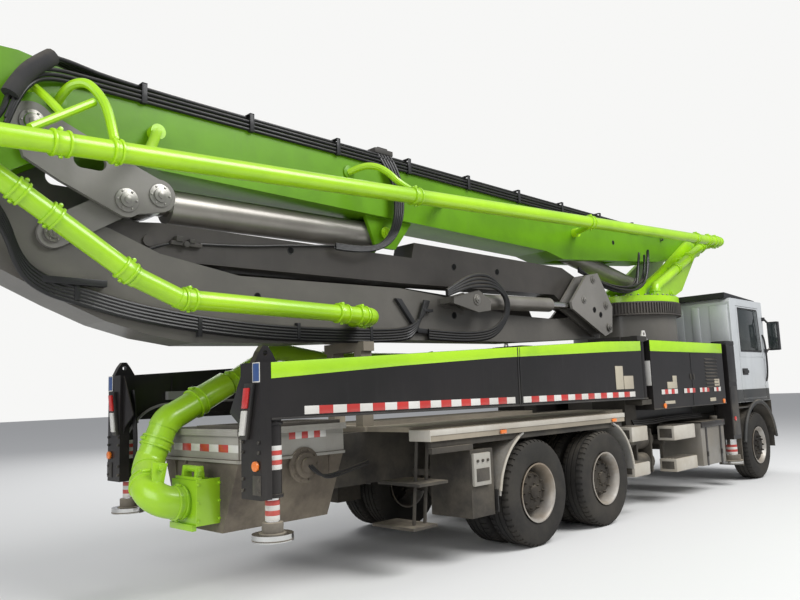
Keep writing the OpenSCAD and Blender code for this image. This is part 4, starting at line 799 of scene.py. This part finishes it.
# Cabinets behind the cab: stripe, door seams, louvres, handles, bare plates, lamps, tape and lifting lug
cabinetLook = {
    "louvreX": (3652, 4078), "louvreZ": range(1500, 1940, 50), "lampX": (2270, 4230),
    "tapes": [(2200, 2680, 5), (2880, 3240, 4), (3400, 3720, 4), (3900, 4140, 3)],
    "lug": [(1985, 2150), (2185, 2150), (2150, 2200), (2115, 2285), (2055, 2285), (2020, 2200)],
}
cabinetBlocks = {
    "cabinetStripe": ("limePaint", "chassis", 0.8, [(1972, 4318, 1250, 1253, 2004, 2146)]),
    "cabinetSeams": ("trimBlack", "chassis", 0.6, [(3175, 3185, 1250, 1256, 1262, 2000),
                                                   (1970, 4320, 1250, 1256, 1250, 1262),
                                                   (1970, 4320, 1250, 1256, 1996, 2004)]),
    "cabinetHandles": ("grateBlack", "chassis", 4, [(x, x + 20, 1250, 1262, 1620, 1700) for x in (3120, 3220)]),
    "cabinetPlates": ("plateBeige", "chassis", 1, [(x0, x1, 1250, 1256, z0, z1) for x0, x1, z0, z1 in (
        (2390, 2680, 1510, 1600), (2560, 2680, 1600, 1680), (3940, 4120, 1520, 1620), (2290, 2580, 1310, 1350),
        (3740, 3940, 1300, 1350))]),
    "rearPlate": ("tapeWhite", "chassis", 1.5, [(1964, 1970, 1115, 1240, 1560, 1880)]),
}


def dressCabinet(side, sign):
    name = side.title()
    makeSideBlocks(cabinetBlocks, side, sign)
    louvres = [makePlate([(sign * 1243, z + 22), (sign * 1258, z - 4), (sign * 1260, z - 1),
                          (sign * 1246, z + 25)], cabinetLook["louvreX"], "x")
               for z in cabinetLook["louvreZ"]]
    dress(louvres, f"louvres{name}", "charcoal", "chassis", 0.6)
    lamps = [makeRound((x, sign * 1258, 1290), 34, 18) for x in cabinetLook["lampX"]]
    dress(lamps, f"cabinetLamps{name}", "lampOrange", "chassis", 4)
    for k, (start, end, count) in enumerate(cabinetLook["tapes"]):
        makeTape(f"cabinetTape{k}{name}", (start, 1440), (end, 1440), outwards(sign, 1256, 1258),
                 "chassis", count)
    caps = [makeRound((1820, sign * 1120, z), 122, 14, "z", 40) for z in (1400, 2128)]
    dress(caps, f"pivotCaps{name}", "trimBlack", f"rear_arm_{side}", 3)
    lug = makePlate(cabinetLook["lug"], outwards(sign, 1110, 1130))
    hole = makeRound((2085, sign * 1120, 2238), 24, 80)
    cutOut(lug, hole)
    dress(lug, f"liftingLug{name}", "tapeWhite", "chassis", 2)


for side, sign in sides:
    dressCabinet(side, sign)
print("cabinets dressed")

# Slewing ring: teeth between two rims, and bolt heads on the turret's flange
ringLook = {"x": 3700, "toothRadius": 0.848, "strips": 240, "low": 2.625, "high": 2.785, "tooth": 0.022,
            "rimZ": (2612, 2786), "boltCircle": 810, "boltZ": 2900, "bolts": 48}


def makeRing():
    centre, middle = at(ringLook["x"], 0, 0), (ringLook["low"] + ringLook["high"]) / 2
    bpy.ops.mesh.primitive_cylinder_add(vertices=ringLook["strips"], radius=ringLook["toothRadius"],
                                        depth=ringLook["high"] - ringLook["low"], end_fill_type="NOTHING",
                                        location=(centre.x, 0, middle))
    teeth = bpy.context.object
    bpy.ops.object.transform_apply(location=True, rotation=True, scale=True)
    raiseFaces(teeth, lambda spot: stripAt(spot.x - centre.x, spot.y, ringLook["strips"]) % 2 == 0,
               ringLook["tooth"])
    dress(teeth, "ringTeeth", "grateBlack", "chassis", 0)
    rims = [makeRound((ringLook["x"], 0, z), 866, 22, "z", 96) for z in ringLook["rimZ"]]
    dress(rims, "ringRims", "grateBlack", "chassis", 3)
    bolts = [makeRound((ringLook["x"] + a, b, ringLook["boltZ"]), 19, 22, "z", 6)
             for a, b in onCircle(ringLook["bolts"], ringLook["boltCircle"])]
    dress(bolts, "ringBolts", "boltSteel", "turret", 1.5)


makeRing()
print("slewing ring made")


# A pipe coupling: a band, two lips, and the bolt block of its clamp
def makeCoupling(middle, along, radius, half):
    step = Vector(along).normalized()
    spot = Vector(middle)
    pieces = [makeBar(spot - step * half, spot + step * half, radius + 8, 32)]
    for end in (-half, half):
        pieces.append(makeBar(spot + step * (end - 9), spot + step * (end + 9), radius + 17, 32))
    up = Vector((0, 0, 1)) - step * step.z
    up.normalize()
    side = step.cross(up)
    top = spot + up * (radius + 14)
    pieces.append(makeBar(top - side * 30, top + side * 30, 16, 12))
    pieces.append(makeBar(spot - up * (radius + 26), spot - up * (radius - 4), 14, 12))
    return joinPieces(pieces)


# Couplings: piece, body, radius of the pipe, and each one's place, the pipe's run there and half its length
runs = {"top": (11660, 0, 720), "fall": (1223, 0, -761), "low": (2023, 0, -40), "riser": (2010, 0, 910),
        "across": (0, 1, 0), "up": (0, 0, 1), "ahead": (1, 0, 0), "out": (-340, 0, 20),
        "swing": (230, 430, 260), "climb": (165, 0, 370), "lift": (635, 70, 300), "deck": (610, 20, 330)}
couplings = {
    "pipe1Couplings": ("boom_1", 75, [
        (-5304, -850, 3287, "top", 50), (-4930, -850, 3310, "top", 26), (-1928, -850, 3495, "top", 40),
        (1392, -850, 3700, "top", 36), (4700, -850, 3905, "top", 30), (5180, -850, 3934, "top", 30),
        (5470, -850, 3952, "top", 56), (5760, -740, 3970, "across", 40)]),
    "pipe2Couplings": ("boom_2", 75, [
        (-5479, -620, 2988, "fall", 34), (-5260, -620, 2852, "fall", 34), (-4740, -620, 2528, "fall", 40),
        (-4250, -620, 2349, "low", 40), (-2720, -620, 2318, "low", 50), (-2480, -620, 2314, "low", 40),
        (-2300, -470, 2310, "across", 40)]),
    "riserCouplings": ("turret", 75, [
        (4571, -540, 3432, "riser", 30), (5075, -540, 3660, "riser", 30), (5614, -540, 3904, "riser", 30),
        (3750, -540, 2960, "up", 40)]),
    "lineCouplings": ("chassis", 120, [
        (-4060, -100, 774, "out", 30), (-4215, 115, 920, "swing", 34), (-4018, 330, 1235, "climb", 34),
        (-3620, 365, 1568, "lift", 34)]),
    "deckCouplings": ("chassis", 85, [
        (-3230, 402, 1745, "deck", 34), (-1900, 420, 1960, "ahead", 34), (-400, 420, 1960, "ahead", 34),
        (1200, 420, 1960, "ahead", 34)]),
}
for name, (body, radius, places) in couplings.items():
    rings = [makeCoupling((x, y, z), runs[run], radius, half) for x, y, z, run, half in places]
    dress(rings, name, "limePaint", body, 2.5)

# Stand-offs of the first pipe: bent tubes from the couplings to the boom's side, with a foot each
standOffs = [([(-4921, -830, 3343), (-4928, -740, 3629), (-4982, -660, 3789), (-5043, -600, 3866),
               (-5110, -520, 3859), (-5148, -440, 3799), (-5150, -352, 3760)], 34),
             ([(-5005, -650, 3711), (-5240, -725, 3538), (-5475, -800, 3365)], 30),
             ([(-5332, -430, 3802), (-5290, -590, 3680), (-5240, -710, 3540)], 30),
             ([(-1872, -800, 3559), (-2061, -780, 3612), (-2141, -700, 3737), (-2205, -600, 3810),
               (-2282, -480, 3825), (-2346, -352, 3777)], 34),
             ([(-5400, -352, 3800), (-5320, -430, 3806)], 30)]
standFeet = [(-5150, 3760, 70), (-2346, 3777, 70), (-5400, 3800, 60)]
tubes = [makeTube(points, radius, fine=5) for points, radius in standOffs]
dress(tubes, "pipeStandOffs", "limePaint", "boom_1", 0)
# The stand-offs' feet wear section 1's darker lime, which is painted shade
feet = [makeRound((x, -358, z), radius, 14) for x, z, radius in standFeet]
dress(feet, "standOffFeet", "limePaintedShade", "boom_1", 3)
print("pipes dressed")

# Hydraulic lines along the first section's top edge, over its head and down to the knee
topHoses = {"count": 6, "radius": 17, "gap": 38, "lowCount": 3, "lowRadius": 15, "tails": 5,
            "wrap": [(-5235, -470, 4040), (-5330, -500, 3955), (-5440, -500, 3830), (-5510, -500, 3680)]}
# Y and Z of the bars of a clamp
clampBars = [(-352, -118, 4076, 4086), (-390, -350, 3918, 3926), (-392, -384, 3918, 4086),
             (-392, -352, 4076, 4086), (-112, -104, 4028, 4086)]
topBlocks = {
    "hoseClamps": ("trimBlack", "boom_1", 1.5, [(x - 22, x + 22, *bar) for x in range(-4500, 4501, 1000)
                                                for bar in clampBars]),
    "topValves": ("grateBlack", "boom_1", 6, [(-1960, -1700, -340, -120, 4076, 4130),
                                              (-1900, -1760, -320, -140, 4130, 4152)]),
    "topBox": ("grateBlack", "boom_1", 6, [(4980, 5120, -330, -90, 4032, 4110)]),
}


def makeTopHoses():
    lines = []
    for k in range(topHoses["count"]):
        y, lift, drop = -330 + k * topHoses["gap"], 4054 + 6 * (k % 2), 24 * (k % 3)
        out = -440 - 20 * k if k < 3 else -380 - 18 * k
        lines.append(makeTube([(5050 - 60 * k, y, lift), (2600, y, lift), (0, y, lift), (-2600, y, lift),
                               (-4700, y, lift), (-5120, y - 30, lift + 50), (-5253, out, 4040 + drop),
                               (-5400, out, 3930), (-5495, out, 3740), (-5551, out, 3520), (-5700, -430, 3360),
                               (-5880, -430, 3262)], topHoses["radius"], fine=5))
    # Lower lines on the section's side, under its top edge
    for k in range(topHoses["lowCount"]):
        low = 4010 - 36 * k
        lines.append(makeTube([(4700 - 500 * k, -368, low), (1000, -368, low), (-2600, -368, low),
                               (-4950, -368, low), (-5200, -400, low - 20), (-5360, -470, low - 110),
                               (-5470, -500, low - 300), (-5530, -500, low - 500)],
                              topHoses["lowRadius"], fine=5))
    dress(lines, "topHoses", "hoseBlack", "boom_1", 0)
    dress(makeTube(topHoses["wrap"], 62, sides=4), "hoseWrap", "wrapGrey", "boom_1", 0)
    makeSideBlocks(topBlocks)
    # Short tails that leave the bundle along the side, beside the valve block on the section's back
    tails = [makeTube([(-1750 - 45 * k, -340, 4060), (-1730 - 45 * k, -400, 3960), (-1660 - 30 * k, -430, 3700),
                       (-1700 - 26 * k, -450, 3350), (-1880 - 20 * k, -440, 3080), (-2250, -420, 2960 + 12 * k),
                       (-2520, -330, 2990 + 12 * k)], 15, fine=5) for k in range(topHoses["tails"])]
    dress(tails, "kneeHoses", "hoseBlack", "boom_1", 0)


makeTopHoses()

# Hydraulic lines along the knee cylinder's underside and the second section's lower edge, with straps
sectionHoses = []
for k in range(5):
    low = 27 * k
    sectionHoses.append(makeTube([(-5890, -450 - 8 * k, 3226), (-5700, -440, 3100 - low),
                                  (-5500, -430, 2880 - low), (-5377, -370, 2581 - low),
                                  (-5180, -322, 2470 - low), (-4948, -312, 2420 - low),
                                  (-4571, -312, 2330 - low), (-4069, -312, 2262 - low),
                                  (-3398, -312, 2210 - low), (-2611, -312, 2200 - low),
                                  (-1673, -312, 2225 - low), (-1450, -318, 2290 - low),
                                  (-1290 - 14 * k, -330, 2420), (-1230 - 14 * k, -330, 2560)], 19, fine=5))
dress(sectionHoses, "sectionHoses", "hoseBlack", "boom_2", 0)
makeSideBlocks({"hoseStraps": ("trimBlack", "boom_2", 2, [
    *[(x, x + 36, -334, -289, 2096, 2250) for x in (-4000, -3000, -2100)],
    (-5240, -4760, -352, -289, 2440, 2490), (-4990, -4950, -336, -289, 2330, 2480),
    (-1320, -1180, -352, -289, 2440, 2470)])})
shelf = [(-1720, 2560), (-1400, 2210), (-1180, 2200), (-1180, 2250), (-1380, 2260), (-1640, 2560)]
dress(makePlate(shelf, (-330, -290)), "hoseShelf", "trimBlack", "boom_2", 2)

# Loop of lines round the elbow cylinder's barrel
elbowLoops = []
for k in range(4):
    grow = 56 * k
    elbowLoops.append(makeTube([(-1180, -560, 2600 + 0.3 * grow), (-900, -560, 2700 + 0.6 * grow),
                                (-640, -560, 2745 + 0.8 * grow), (-330 - 0.2 * grow, -560, 2760 + 0.6 * grow),
                                (-130 + 0.3 * grow, -560, 2640), (-150 + 0.3 * grow, -560, 2440),
                                (-330, -540, 2270 - 0.5 * grow), (-640, -480, 2215 - 0.5 * grow),
                                (-980, -400, 2220 - 0.5 * grow), (-1250, -330, 2240 - 0.5 * grow)], 20, fine=5))
dress(elbowLoops, "elbowLoops", "hoseBlack", "boom_2", 0)

# Lines at the turret, a sagging bundle: height, shift along Y and sag of each
turretRuns = [(3640, -10, 0), (3560, 30, 34), (3600, -50, 60), (3520, 70, 12), (3580, 40, 85)]
turretHoses = []
for k, (top, shift, sag) in enumerate(turretRuns):
    turretHoses.append(makeTube([(3640 - 50 * k, -520 + shift, top), (3560 - 70 * k, -560 + shift, 3380 - sag),
                                 (3340 - 40 * k, -580 + shift, 3130 - sag), (2960, -570 + shift, 3000 - sag),
                                 (2600, -500 + shift, 2985 - sag + 8 * k),
                                 (2300, -400 + 0.5 * shift, 3060 - 0.5 * sag), (1900, -330, 3170 + 14 * k)],
                                18, fine=5))
dress(turretHoses, "turretHoses", "hoseBlack", "boom_1", 0)

# A valve and its lines on the third section
valveRuns = [[(-3944, -262, 2875), (-3500, -268, 2905), (-3128, -268, 2960), (-2406, -268, 3040),
              (-1900, -262, 3085)],
             [(-4214, -262, 2850), (-4400, -262, 2800), (-4520, -262, 2700)]]
valveRows = [(-4220, -3940, -296, -252, 2838, 2872), (-4180, -4120, -310, -252, 2866, 2912),
             (-4060, -4010, -306, -252, 2866, 2900)]
dress([makeTube(points, 11) for points in valveRuns], "valveLines", "hoseBlack", "boom_3", 0)
dress(makeBlocks(valveRows) + [makeRound((-4090, -300, 2850), 26, 30, sides=20)], "sideValve", "grateBlack",
      "boom_3", 4)
print("hydraulic lines made")

# Pins' caps: body, finish, and each one's place and radius; a washer, a boss and a ring of small bolts
caps = {
    "kneeCaps": ("knee_rocker", "boltSteel", [(-4640, -396, 3110, 92), (-4370, -396, 3190, 92),
                                              (-5330, -396, 3560, 90)]),
    "elbowCaps": ("elbow_rocker", "boltSteel", [(1963, -500, 3045, 56), (1694, -500, 2745, 52),
                                                (2270, -500, 2700, 56), (2309, -515, 2397, 56)]),
    "bracketCaps": ("boom_2", "boltSteel", [(-640, -530, 2590, 60)]),
    "linkCaps": ("boom_2", "boltSteel", [(-5150, -346, 2800, 66)]),
    "footCaps": ("boom_1", "limePaint", [(-1820, -316, 3235, 66)]),
    "turretCaps": ("turret", "limePaint", [(4600, -416, 3030, 76)]),
}
for name, (body, finish, places) in caps.items():
    discs = []
    for x, y, z, radius in places:
        discs += [makeRound((x, y - 5, z), radius, 12), makeRound((x, y - 16, z), radius * 0.62, 22, sides=24),
                  makeRound((x, y - 28, z), radius * 0.34, 14, sides=6)]
        discs += [makeRound((x + a, y - 12, z + b), radius * 0.1, 10, sides=6)
                  for a, b in onCircle(6, radius * 0.82)]
    dress(discs, name, finish, body, 2)

# Round openings in the sections' sides, drawn as near-black discs of painted shade with a turned lip: Y of the
# side, and X, Z and radius of each
holes = {"boom_3": (-250, [(-679, 2999, 34), (132, 3015, 34), (-3000, 2930, 30)]),
         "boom_2": (-290, [(-762, 2430, 34), (-3400, 2470, 26)]),
         "boom_1": (-350, [(-2750, 3640, 26), (2900, 3700, 26)]),
         "elbow_rocker": (-500, [(1960, 2620, 34), (2120, 2560, 34)])}
for body, (y, spots) in holes.items():
    # Near-black discs painted as the shade inside each opening
    discs = [makeRound((x, y - 0.6, z), radius, 2, sides=24) for x, z, radius in spots]
    dress(discs, f"holeShadeDiscs_{body}", "holePaintedShade", body, 0.4)
    lips = []
    for x, z, radius in spots:
        near, far = radius / 1000, radius / 1000 + 0.009
        ring = makeTurned([(near, 0.001), (near + 0.001, -0.003), (far - 0.002, -0.004), (far, 0.001)], 28)
        lips.append(copyPiece(ring, at(x, y, z)))
        bpy.data.objects.remove(ring)
    dress(lips, f"openingLips_{body}", "trimBlack", body, 0.5)
print("pins and openings made")

# Hopper: painted upper panel, rim, lower strip, tape, ribs and the agitator's bearing
hopperLook = {"half": 600, "backTape": 7, "sideTape": 6, "bearing": (-3170, 1010), "boltCircle": 128,
              "bolts": 10, "discs": [(10, 150, 26, 48), (34, 105, 30, 40), (58, 60, 30, 32)]}
hopperBack = {"panels": [(-3806, -3800, -596, 596, 1104, 1316)],
              "rim": [(-3834, -3798, -634, 634, 1322, 1344), (-3834, -3826, -634, 634, 1290, 1324),
                      (-3824, -3800, -610, 610, 1076, 1100)]}


def dressHopper():
    half = hopperLook["half"]
    dress(makeBlocks(hopperBack["panels"]) + makePair(-3796, -2724, half, half + 6, 1104, 1316), "hopperPanels",
          "panelGrey", "chassis", 2)
    # The grate turns on the right edge and needs room there
    rim = [makeBlock((-3834, -2710), outwards(sign, near, half + 34), (1322, 1344))
           for sign, near in ((-1, half + 24), (1, half))]
    rim += makePair(-3834, -2710, half + 26, half + 34, 1290, 1324)
    rim += makePair(-3824, -2720, half, half + 22, 1076, 1100)
    dress(makeBlocks(hopperBack["rim"]) + rim, "hopperRim", "panelGrey", "chassis", 3)
    count = hopperLook["backTape"]
    ends = [420 - 1020 * k / count for k in range(count + 1)]
    tape = [makeBlock((-3808, -3806), (low, high), (1160, 1220)) for high, low in zip(ends, ends[1:])]
    for side, sign in sides:
        tape += [makeBlock((-3320 + 66 * k, -3254 + 66 * k), outwards(sign, half + 6, half + 8), (1232, 1290))
                 for k in range(hopperLook["sideTape"])]
    dressBands(tape, ("hopperTapewhite", "hopperTapered"), "chassis")
    ribs = [makePlate([(-3822, 1076), (-3800, 1076), (-3800, 900)], (y, y + 10)) for y in (380, 200)]
    for side, sign in sides:
        outline = [(sign * (half + 26), 1076), (sign * half, 1076), (sign * half, 900)]
        ribs += [makePlate(outline, (x, x + 10), "x") for x in (-3600, -2900)]
    dress(ribs, "hopperRibs", "hopperBrown", "chassis", 1)


def dressAgitator(side, sign):
    x, z = hopperLook["bearing"]
    face = hopperLook["half"]
    bearing = [makeRound((x, sign * (face + out), z), radius, long, sides=fine)
               for out, radius, long, fine in hopperLook["discs"]]
    bearing += [makeRound((x + a, sign * (face + 27), z + b), 11, 14, sides=6)
                for a, b in onCircle(hopperLook["bolts"], hopperLook["boltCircle"])]
    dress(bearing, f"agitatorBearing{side.title()}", "hopperBrown", "chassis", 3)
    lines = [makeTube([(x + 30 * k, sign * (face + 66), z), (-3100 + 30 * k, sign * (face + 90), 930),
                       (-2950, sign * (face + 60), 900 - 22 * k), (-2700, sign * (face + 40), 940 - 22 * k),
                       (-2450, sign * (face + 20), 980 - 22 * k)], 12) for k in range(2)]
    dress(lines, f"agitatorLines{side.title()}", "hoseBlack", "chassis", 0)
    # Gusset between the rear arm and its end
    gusset = [(sign * 1002, 1838), (sign * 800, 1480), (sign * 975, 1362), (sign * 1002, 1300)]
    dress(makePlate(gusset, (-4010, -3998), "x"), f"armGusset{side.title()}", "charcoal", f"rear_arm_{side}", 2)


# Levers, lugs and the flange with its bolts on the outlet
outletLook = {
    "blocks": [(-4010, -3790, -316, -300, 600, 960), (-3990, -3960, -316, 60, 950, 975),
               (-4030, -3990, -280, 80, 560, 610)],
    "lug": [(-3990, 950), (-3900, 950), (-3915, 1060), (-3975, 1060)], "lugY": ((-260, -230), (-60, -30)),
    "ear": [(-4250, 900), (-4160, 900), (-4120, 1090), (-4250, 1110)], "earY": (-60, -36),
    "pins": [((-3945, -270, 1035), (-3945, -20, 1035), 26), ((-4185, -90, 1060), (-4185, -6, 1060), 24)],
    "bolts": [(x, -320, z) for z in (640, 780, 920) for x in (-3995, -3808)],
}


def dressOutlet():
    parts = makeBlocks(outletLook["blocks"])
    parts += [makePlate(outletLook["lug"], depths) for depths in outletLook["lugY"]]
    parts.append(makePlate(outletLook["ear"], outletLook["earY"]))
    parts += [makeBar(*pin) for pin in outletLook["pins"]]
    parts += [makeRound(place, 13, 16, sides=6) for place in outletLook["bolts"]]
    dress(parts, "outletLugs", "limePaint", "chassis", 3)


dressHopper()
for side, sign in sides:
    dressAgitator(side, sign)
dressOutlet()
print("hopper dressed")

# Walkway over the rear wheels: tread plate, edge strip, amber lamps and beam, and the flaps behind the wheels
walkwayBlocks = {
    "walkwayEdge": ("stepWhite", "chassis", 1.5, [(-2285, 1170, 1250, 1257, 1200, 1249),
                                                  (-2291, -2285, 1000, 1257, 1152, 1249),
                                                  (-2285, 1170, 1206, 1257, 1245, 1250)]),
    "walkwayTread": ("deckDust", "chassis", 1, [(x, x + 1120, 1006, 1202, 1245, 1249)
                                                for x in (-2280, -1140, 0)]
                     + [(x, x + 12, 1014, 1196, 1249, 1253) for x in range(-2250, 1110, 60)]),
    "walkwayLamps": ("lampOrange", "chassis", 5, [(x - 45, x + 45, 1257, 1275, 1158, 1194)
                                                  for x in (-1250, 900)]),
    "walkwayBeam": ("chassisBlack", "chassis", 3, [(-2245, 1150, 1180, 1220, 1090, 1150),
                                                   (-2255, -1690, 1190, 1240, 1040, 1092)]),
    "mudFlap": ("hoseBlack", "chassis", 2, [(-1352, -1336, 700, 1235, 430, 640)]),
}
# Steps with slotted treads, the tank with its lid and straps, and the control box and locker behind the wheels
stepLook = [(1350, 1750, 470, 620), (1350, 1750, 890, 1060), (2500, 3150, 420, 580), (2500, 3150, 830, 1010)]
stepRows = []
for x0, x1, z0, z1 in stepLook:
    stepRows += [(x0 + 30, x1 - 30, 1020 + 44 * k, 1044 + 44 * k, z1 + 3, z1 + 9) for k in range(5)]
    stepRows += [(x, x + 5, 1040, 1210, z0 + 30, z1 - 30) for x in (x0 - 8, x1 + 3)]
sideBlocks = {
    "steps": ("stepWhite", "chassis", 11, [(x0 - 4, x1 + 4, 1006, 1244, z0 - 4, z1 + 4)
                                           for x0, x1, z0, z1 in stepLook]),
    "stepTreads": ("trimBlack", "chassis", 1, stepRows),
    "tank": ("tankSilver", "chassis", 12, [(3396, 4204, 600, 1225, 405, 1004)]),
    "tankStraps": ("charcoal", "chassis", 3, [
        (3386, 4214, 620, 1242, 1004, 1022), (3386, 4214, 1225, 1242, 940, 1008),
        *[(x, x + 60, 1225, 1231, 402, 1000) for x in (3520, 4020)],
        *[(x, x + 36, 1231, 1242, 530, 600) for x in (3532, 4032)]]),
    "lockerSkin": ("chassisBlack", "chassis", 2, [(-1706, -1364, 1200, 1206, 410, 1030),
                                                  (-1706, -1700, 700, 1206, 410, 1030)]),
    "controlBox": ("panelGrey", "chassis", 9, [(-1690, -1440, 1206, 1242, 700, 1000)]),
}


# A tube bent over a wheel, between two angles in degrees
def makeArch(x, y, radius, start, end, count, thick):
    angles = [math.radians(start + (end - start) * k / (count - 1)) for k in range(count)]
    points = [(x + radius * math.cos(angle), y, axleHeight + radius * math.sin(angle)) for angle in angles]
    return makeTube(points, thick, fine=3)


def dressSide(side, sign):
    name = side.title()
    makeSideBlocks(walkwayBlocks, side, sign)
    makeSideBlocks(sideBlocks, side, sign)
    lips = [makeArch(x, sign * 1250, 654, *ends, 9, 14) for x, ends in ((-675, (172, 118)), (675, (8, 62)))]
    dress(lips, f"fenderLips{name}", "stepWhite", "chassis", 0)
    dress(makeRound((4080, sign * 1130, 1048), 55, 54, "z"), f"tankCap{name}", "trimBlack", "chassis", 5)
    knobs = [makeRound((-1640 + 75 * k, sign * 1248, 930), 14, 14) for k in range(3)]
    knobs.append(makeBlock((-1660, -1470), outwards(sign, 1242, 1246), (740, 860)))
    dress(knobs, f"controlKnobs{name}", "trimBlack", "chassis", 2)
    # Air tanks and the lines between the steps
    tanks = [makeRound((2120, sign * 860, z), 125, 600, "x", 40) for z in (560, 850)]
    tanks += [makeBlock((x, x + 40), outwards(sign, 700, 1000), (425, 990)) for x in (1900, 2300)]
    dress(tanks, f"airTanks{name}", "chassisBlack", "chassis", 8)
    lines = [makeTube([(1800, sign * (1010 + 12 * k), 1120 - 24 * k),
                       (2300, sign * (1010 + 12 * k), 1100 - 24 * k),
                       (2900, sign * (1000 + 12 * k), 1130 - 24 * k),
                       (3900, sign * (1010 + 12 * k), 1120 - 24 * k)], 11) for k in range(3)]
    dress(lines, f"sideLines{name}", "hoseBlack", "chassis", 0)


for side, sign in sides:
    dressSide(side, sign)
print("sides dressed")

# Cab: door and window trims, handles, skirts, mirrors, and the tall box on the front outrigger behind it
cabBlocks = {
    "doorHandle": ("trimBlack", "door_{}", 8, [(5190, 5390, 1220, 1246, 1700, 1745),
                                               (5170, 5410, 1220, 1224, 1670, 1775)]),
    "doorSill": ("plasticGrey", "door_{}", 2, [(5124, 6146, 1220, 1226, 1304, 1440)]),
    "doorLine": ("cabSilver", "door_{}", 2, [(5124, 6146, 1220, 1225, 1960, 1972)]),
    "cabSkirt": ("plasticGrey", "chassis", 2, [(4864, 5108, 1220, 1226, 1246, 1440),
                                               (6162, 6280, 1220, 1226, 1246, 1440),
                                               (5108, 6162, 1220, 1226, 1246, 1290)]),
    "mirrorGlass": ("cabGlass", "chassis", 3, [(6322, 6330, 1284, 1426, 2100, 2545)]),
    "mirrorShell": ("trimBlack", "chassis", 18, [(6330, 6424, 1266, 1436, 2076, 2564)]),
    "jackBox": ("trimBlack", "front_arm_{}", 5, [(4490, 4810, 1026, 1256, 2140, 2199),
                                                 (4500, 4800, 1250, 1256, 1560, 2120),
                                                 (4520, 4780, 1250, 1256, 760, 1500)]),
}
# Outlines of the window's trim and pane, in X and Z
windowLook = {
    "trim": [[(5178, 2044), (6102, 2044), (6102, 2070), (5178, 2070)],
             [(5178, 2740), (6020, 2740), (6026, 2760), (5178, 2760)],
             [(5178, 2070), (5200, 2070), (5200, 2740), (5178, 2740)],
             [(6080, 2070), (6102, 2070), (6042, 2740), (6020, 2740)]],
    "pane": [(5198, 2068), (6082, 2068), (6022, 2742), (5198, 2742)],
}


def dressCabSide(side, sign):
    tag, door = side.title(), f"door_{side}"
    makeSideBlocks(cabBlocks, side, sign)
    trims = [makePlate(outline, outwards(sign, 1220, 1227)) for outline in windowLook["trim"]]
    dress(trims, f"windowTrim{tag}", "trimBlack", door, 1.5)
    dress(makePlate(windowLook["pane"], outwards(sign, 1209, 1216)), f"doorPane{tag}", "cabGlass", door, 1)
    rail = makeTube([(6190, sign * 1222, 1560), (6200, sign * 1262, 1600), (6200, sign * 1262, 2300),
                     (6190, sign * 1222, 2340)], 15)
    dress(rail, f"grabRail{tag}", "trimBlack", "chassis", 0)
    dress(makeArch(5700, sign * 1232, 716, 8, 172, 13, 24), f"archLip{tag}", "plasticGrey", "chassis", 0)
    dress(makeRound((4600, sign * 1262, 1010), 34, 14), f"jackLamp{tag}", "lampRed", f"front_arm_{side}", 4)


# Both ends of the cab: ribs and lines of the rear wall, grille, lamps, wipers and the roof's marker lamps
cabEndBlocks = {
    "cabRearRibs": ("cabSilver", "chassis", 9, [(4848, 4860, low, high, 2060, 2790) for low, high in (
        (-1190, -905), (-735, -615), (-470, -130), (130, 470), (615, 735), (905, 1190))]),
    "grille": ("trimBlack", "chassis", 5, [(6700, 6722, -700, 700, z, z + 46) for z in range(1330, 1870, 76)]
               + [(6700, 6714, -760, 760, 1300, 1880)]),
    "roofLamps": ("lampOrange", "chassis", 8, [(6060, 6120, y - 45, y + 45, 2920, 2955)
                                               for y in (-850, -430, 0, 430, 850)]),
}


def dressCabEnds():
    makeSideBlocks(cabEndBlocks)
    lines = [makeTube([(4800 - 22 * k, 380 - 60 * k, 1260), (4790 - 22 * k, 380 - 60 * k, 1600),
                       (4820, 400 - 60 * k, 1900)], 14) for k in range(4)]
    dress(lines, "cabLines", "hoseBlack", "chassis", 0)
    dress(makePair(6650, 6738, 620, 900, 900, 1090), "headLamps", "lampGlass", "chassis", 14)
    fog = [makeRound((6744, sign * 520, 620), 70, 8, "x") for side, sign in sides]
    dress(fog, "fogLamps", "lampGlass", "chassis", 3)
    wipers = [makeTube([(6700, y, 1930), (6690, y + 60, 2050), (6640, y + 420, 2330)], 11) for y in (-700, 40)]
    dress(wipers, "wipers", "trimBlack", "chassis", 0)


for side, sign in sides:
    dressCabSide(side, sign)
dressCabEnds()
print("cab dressed")
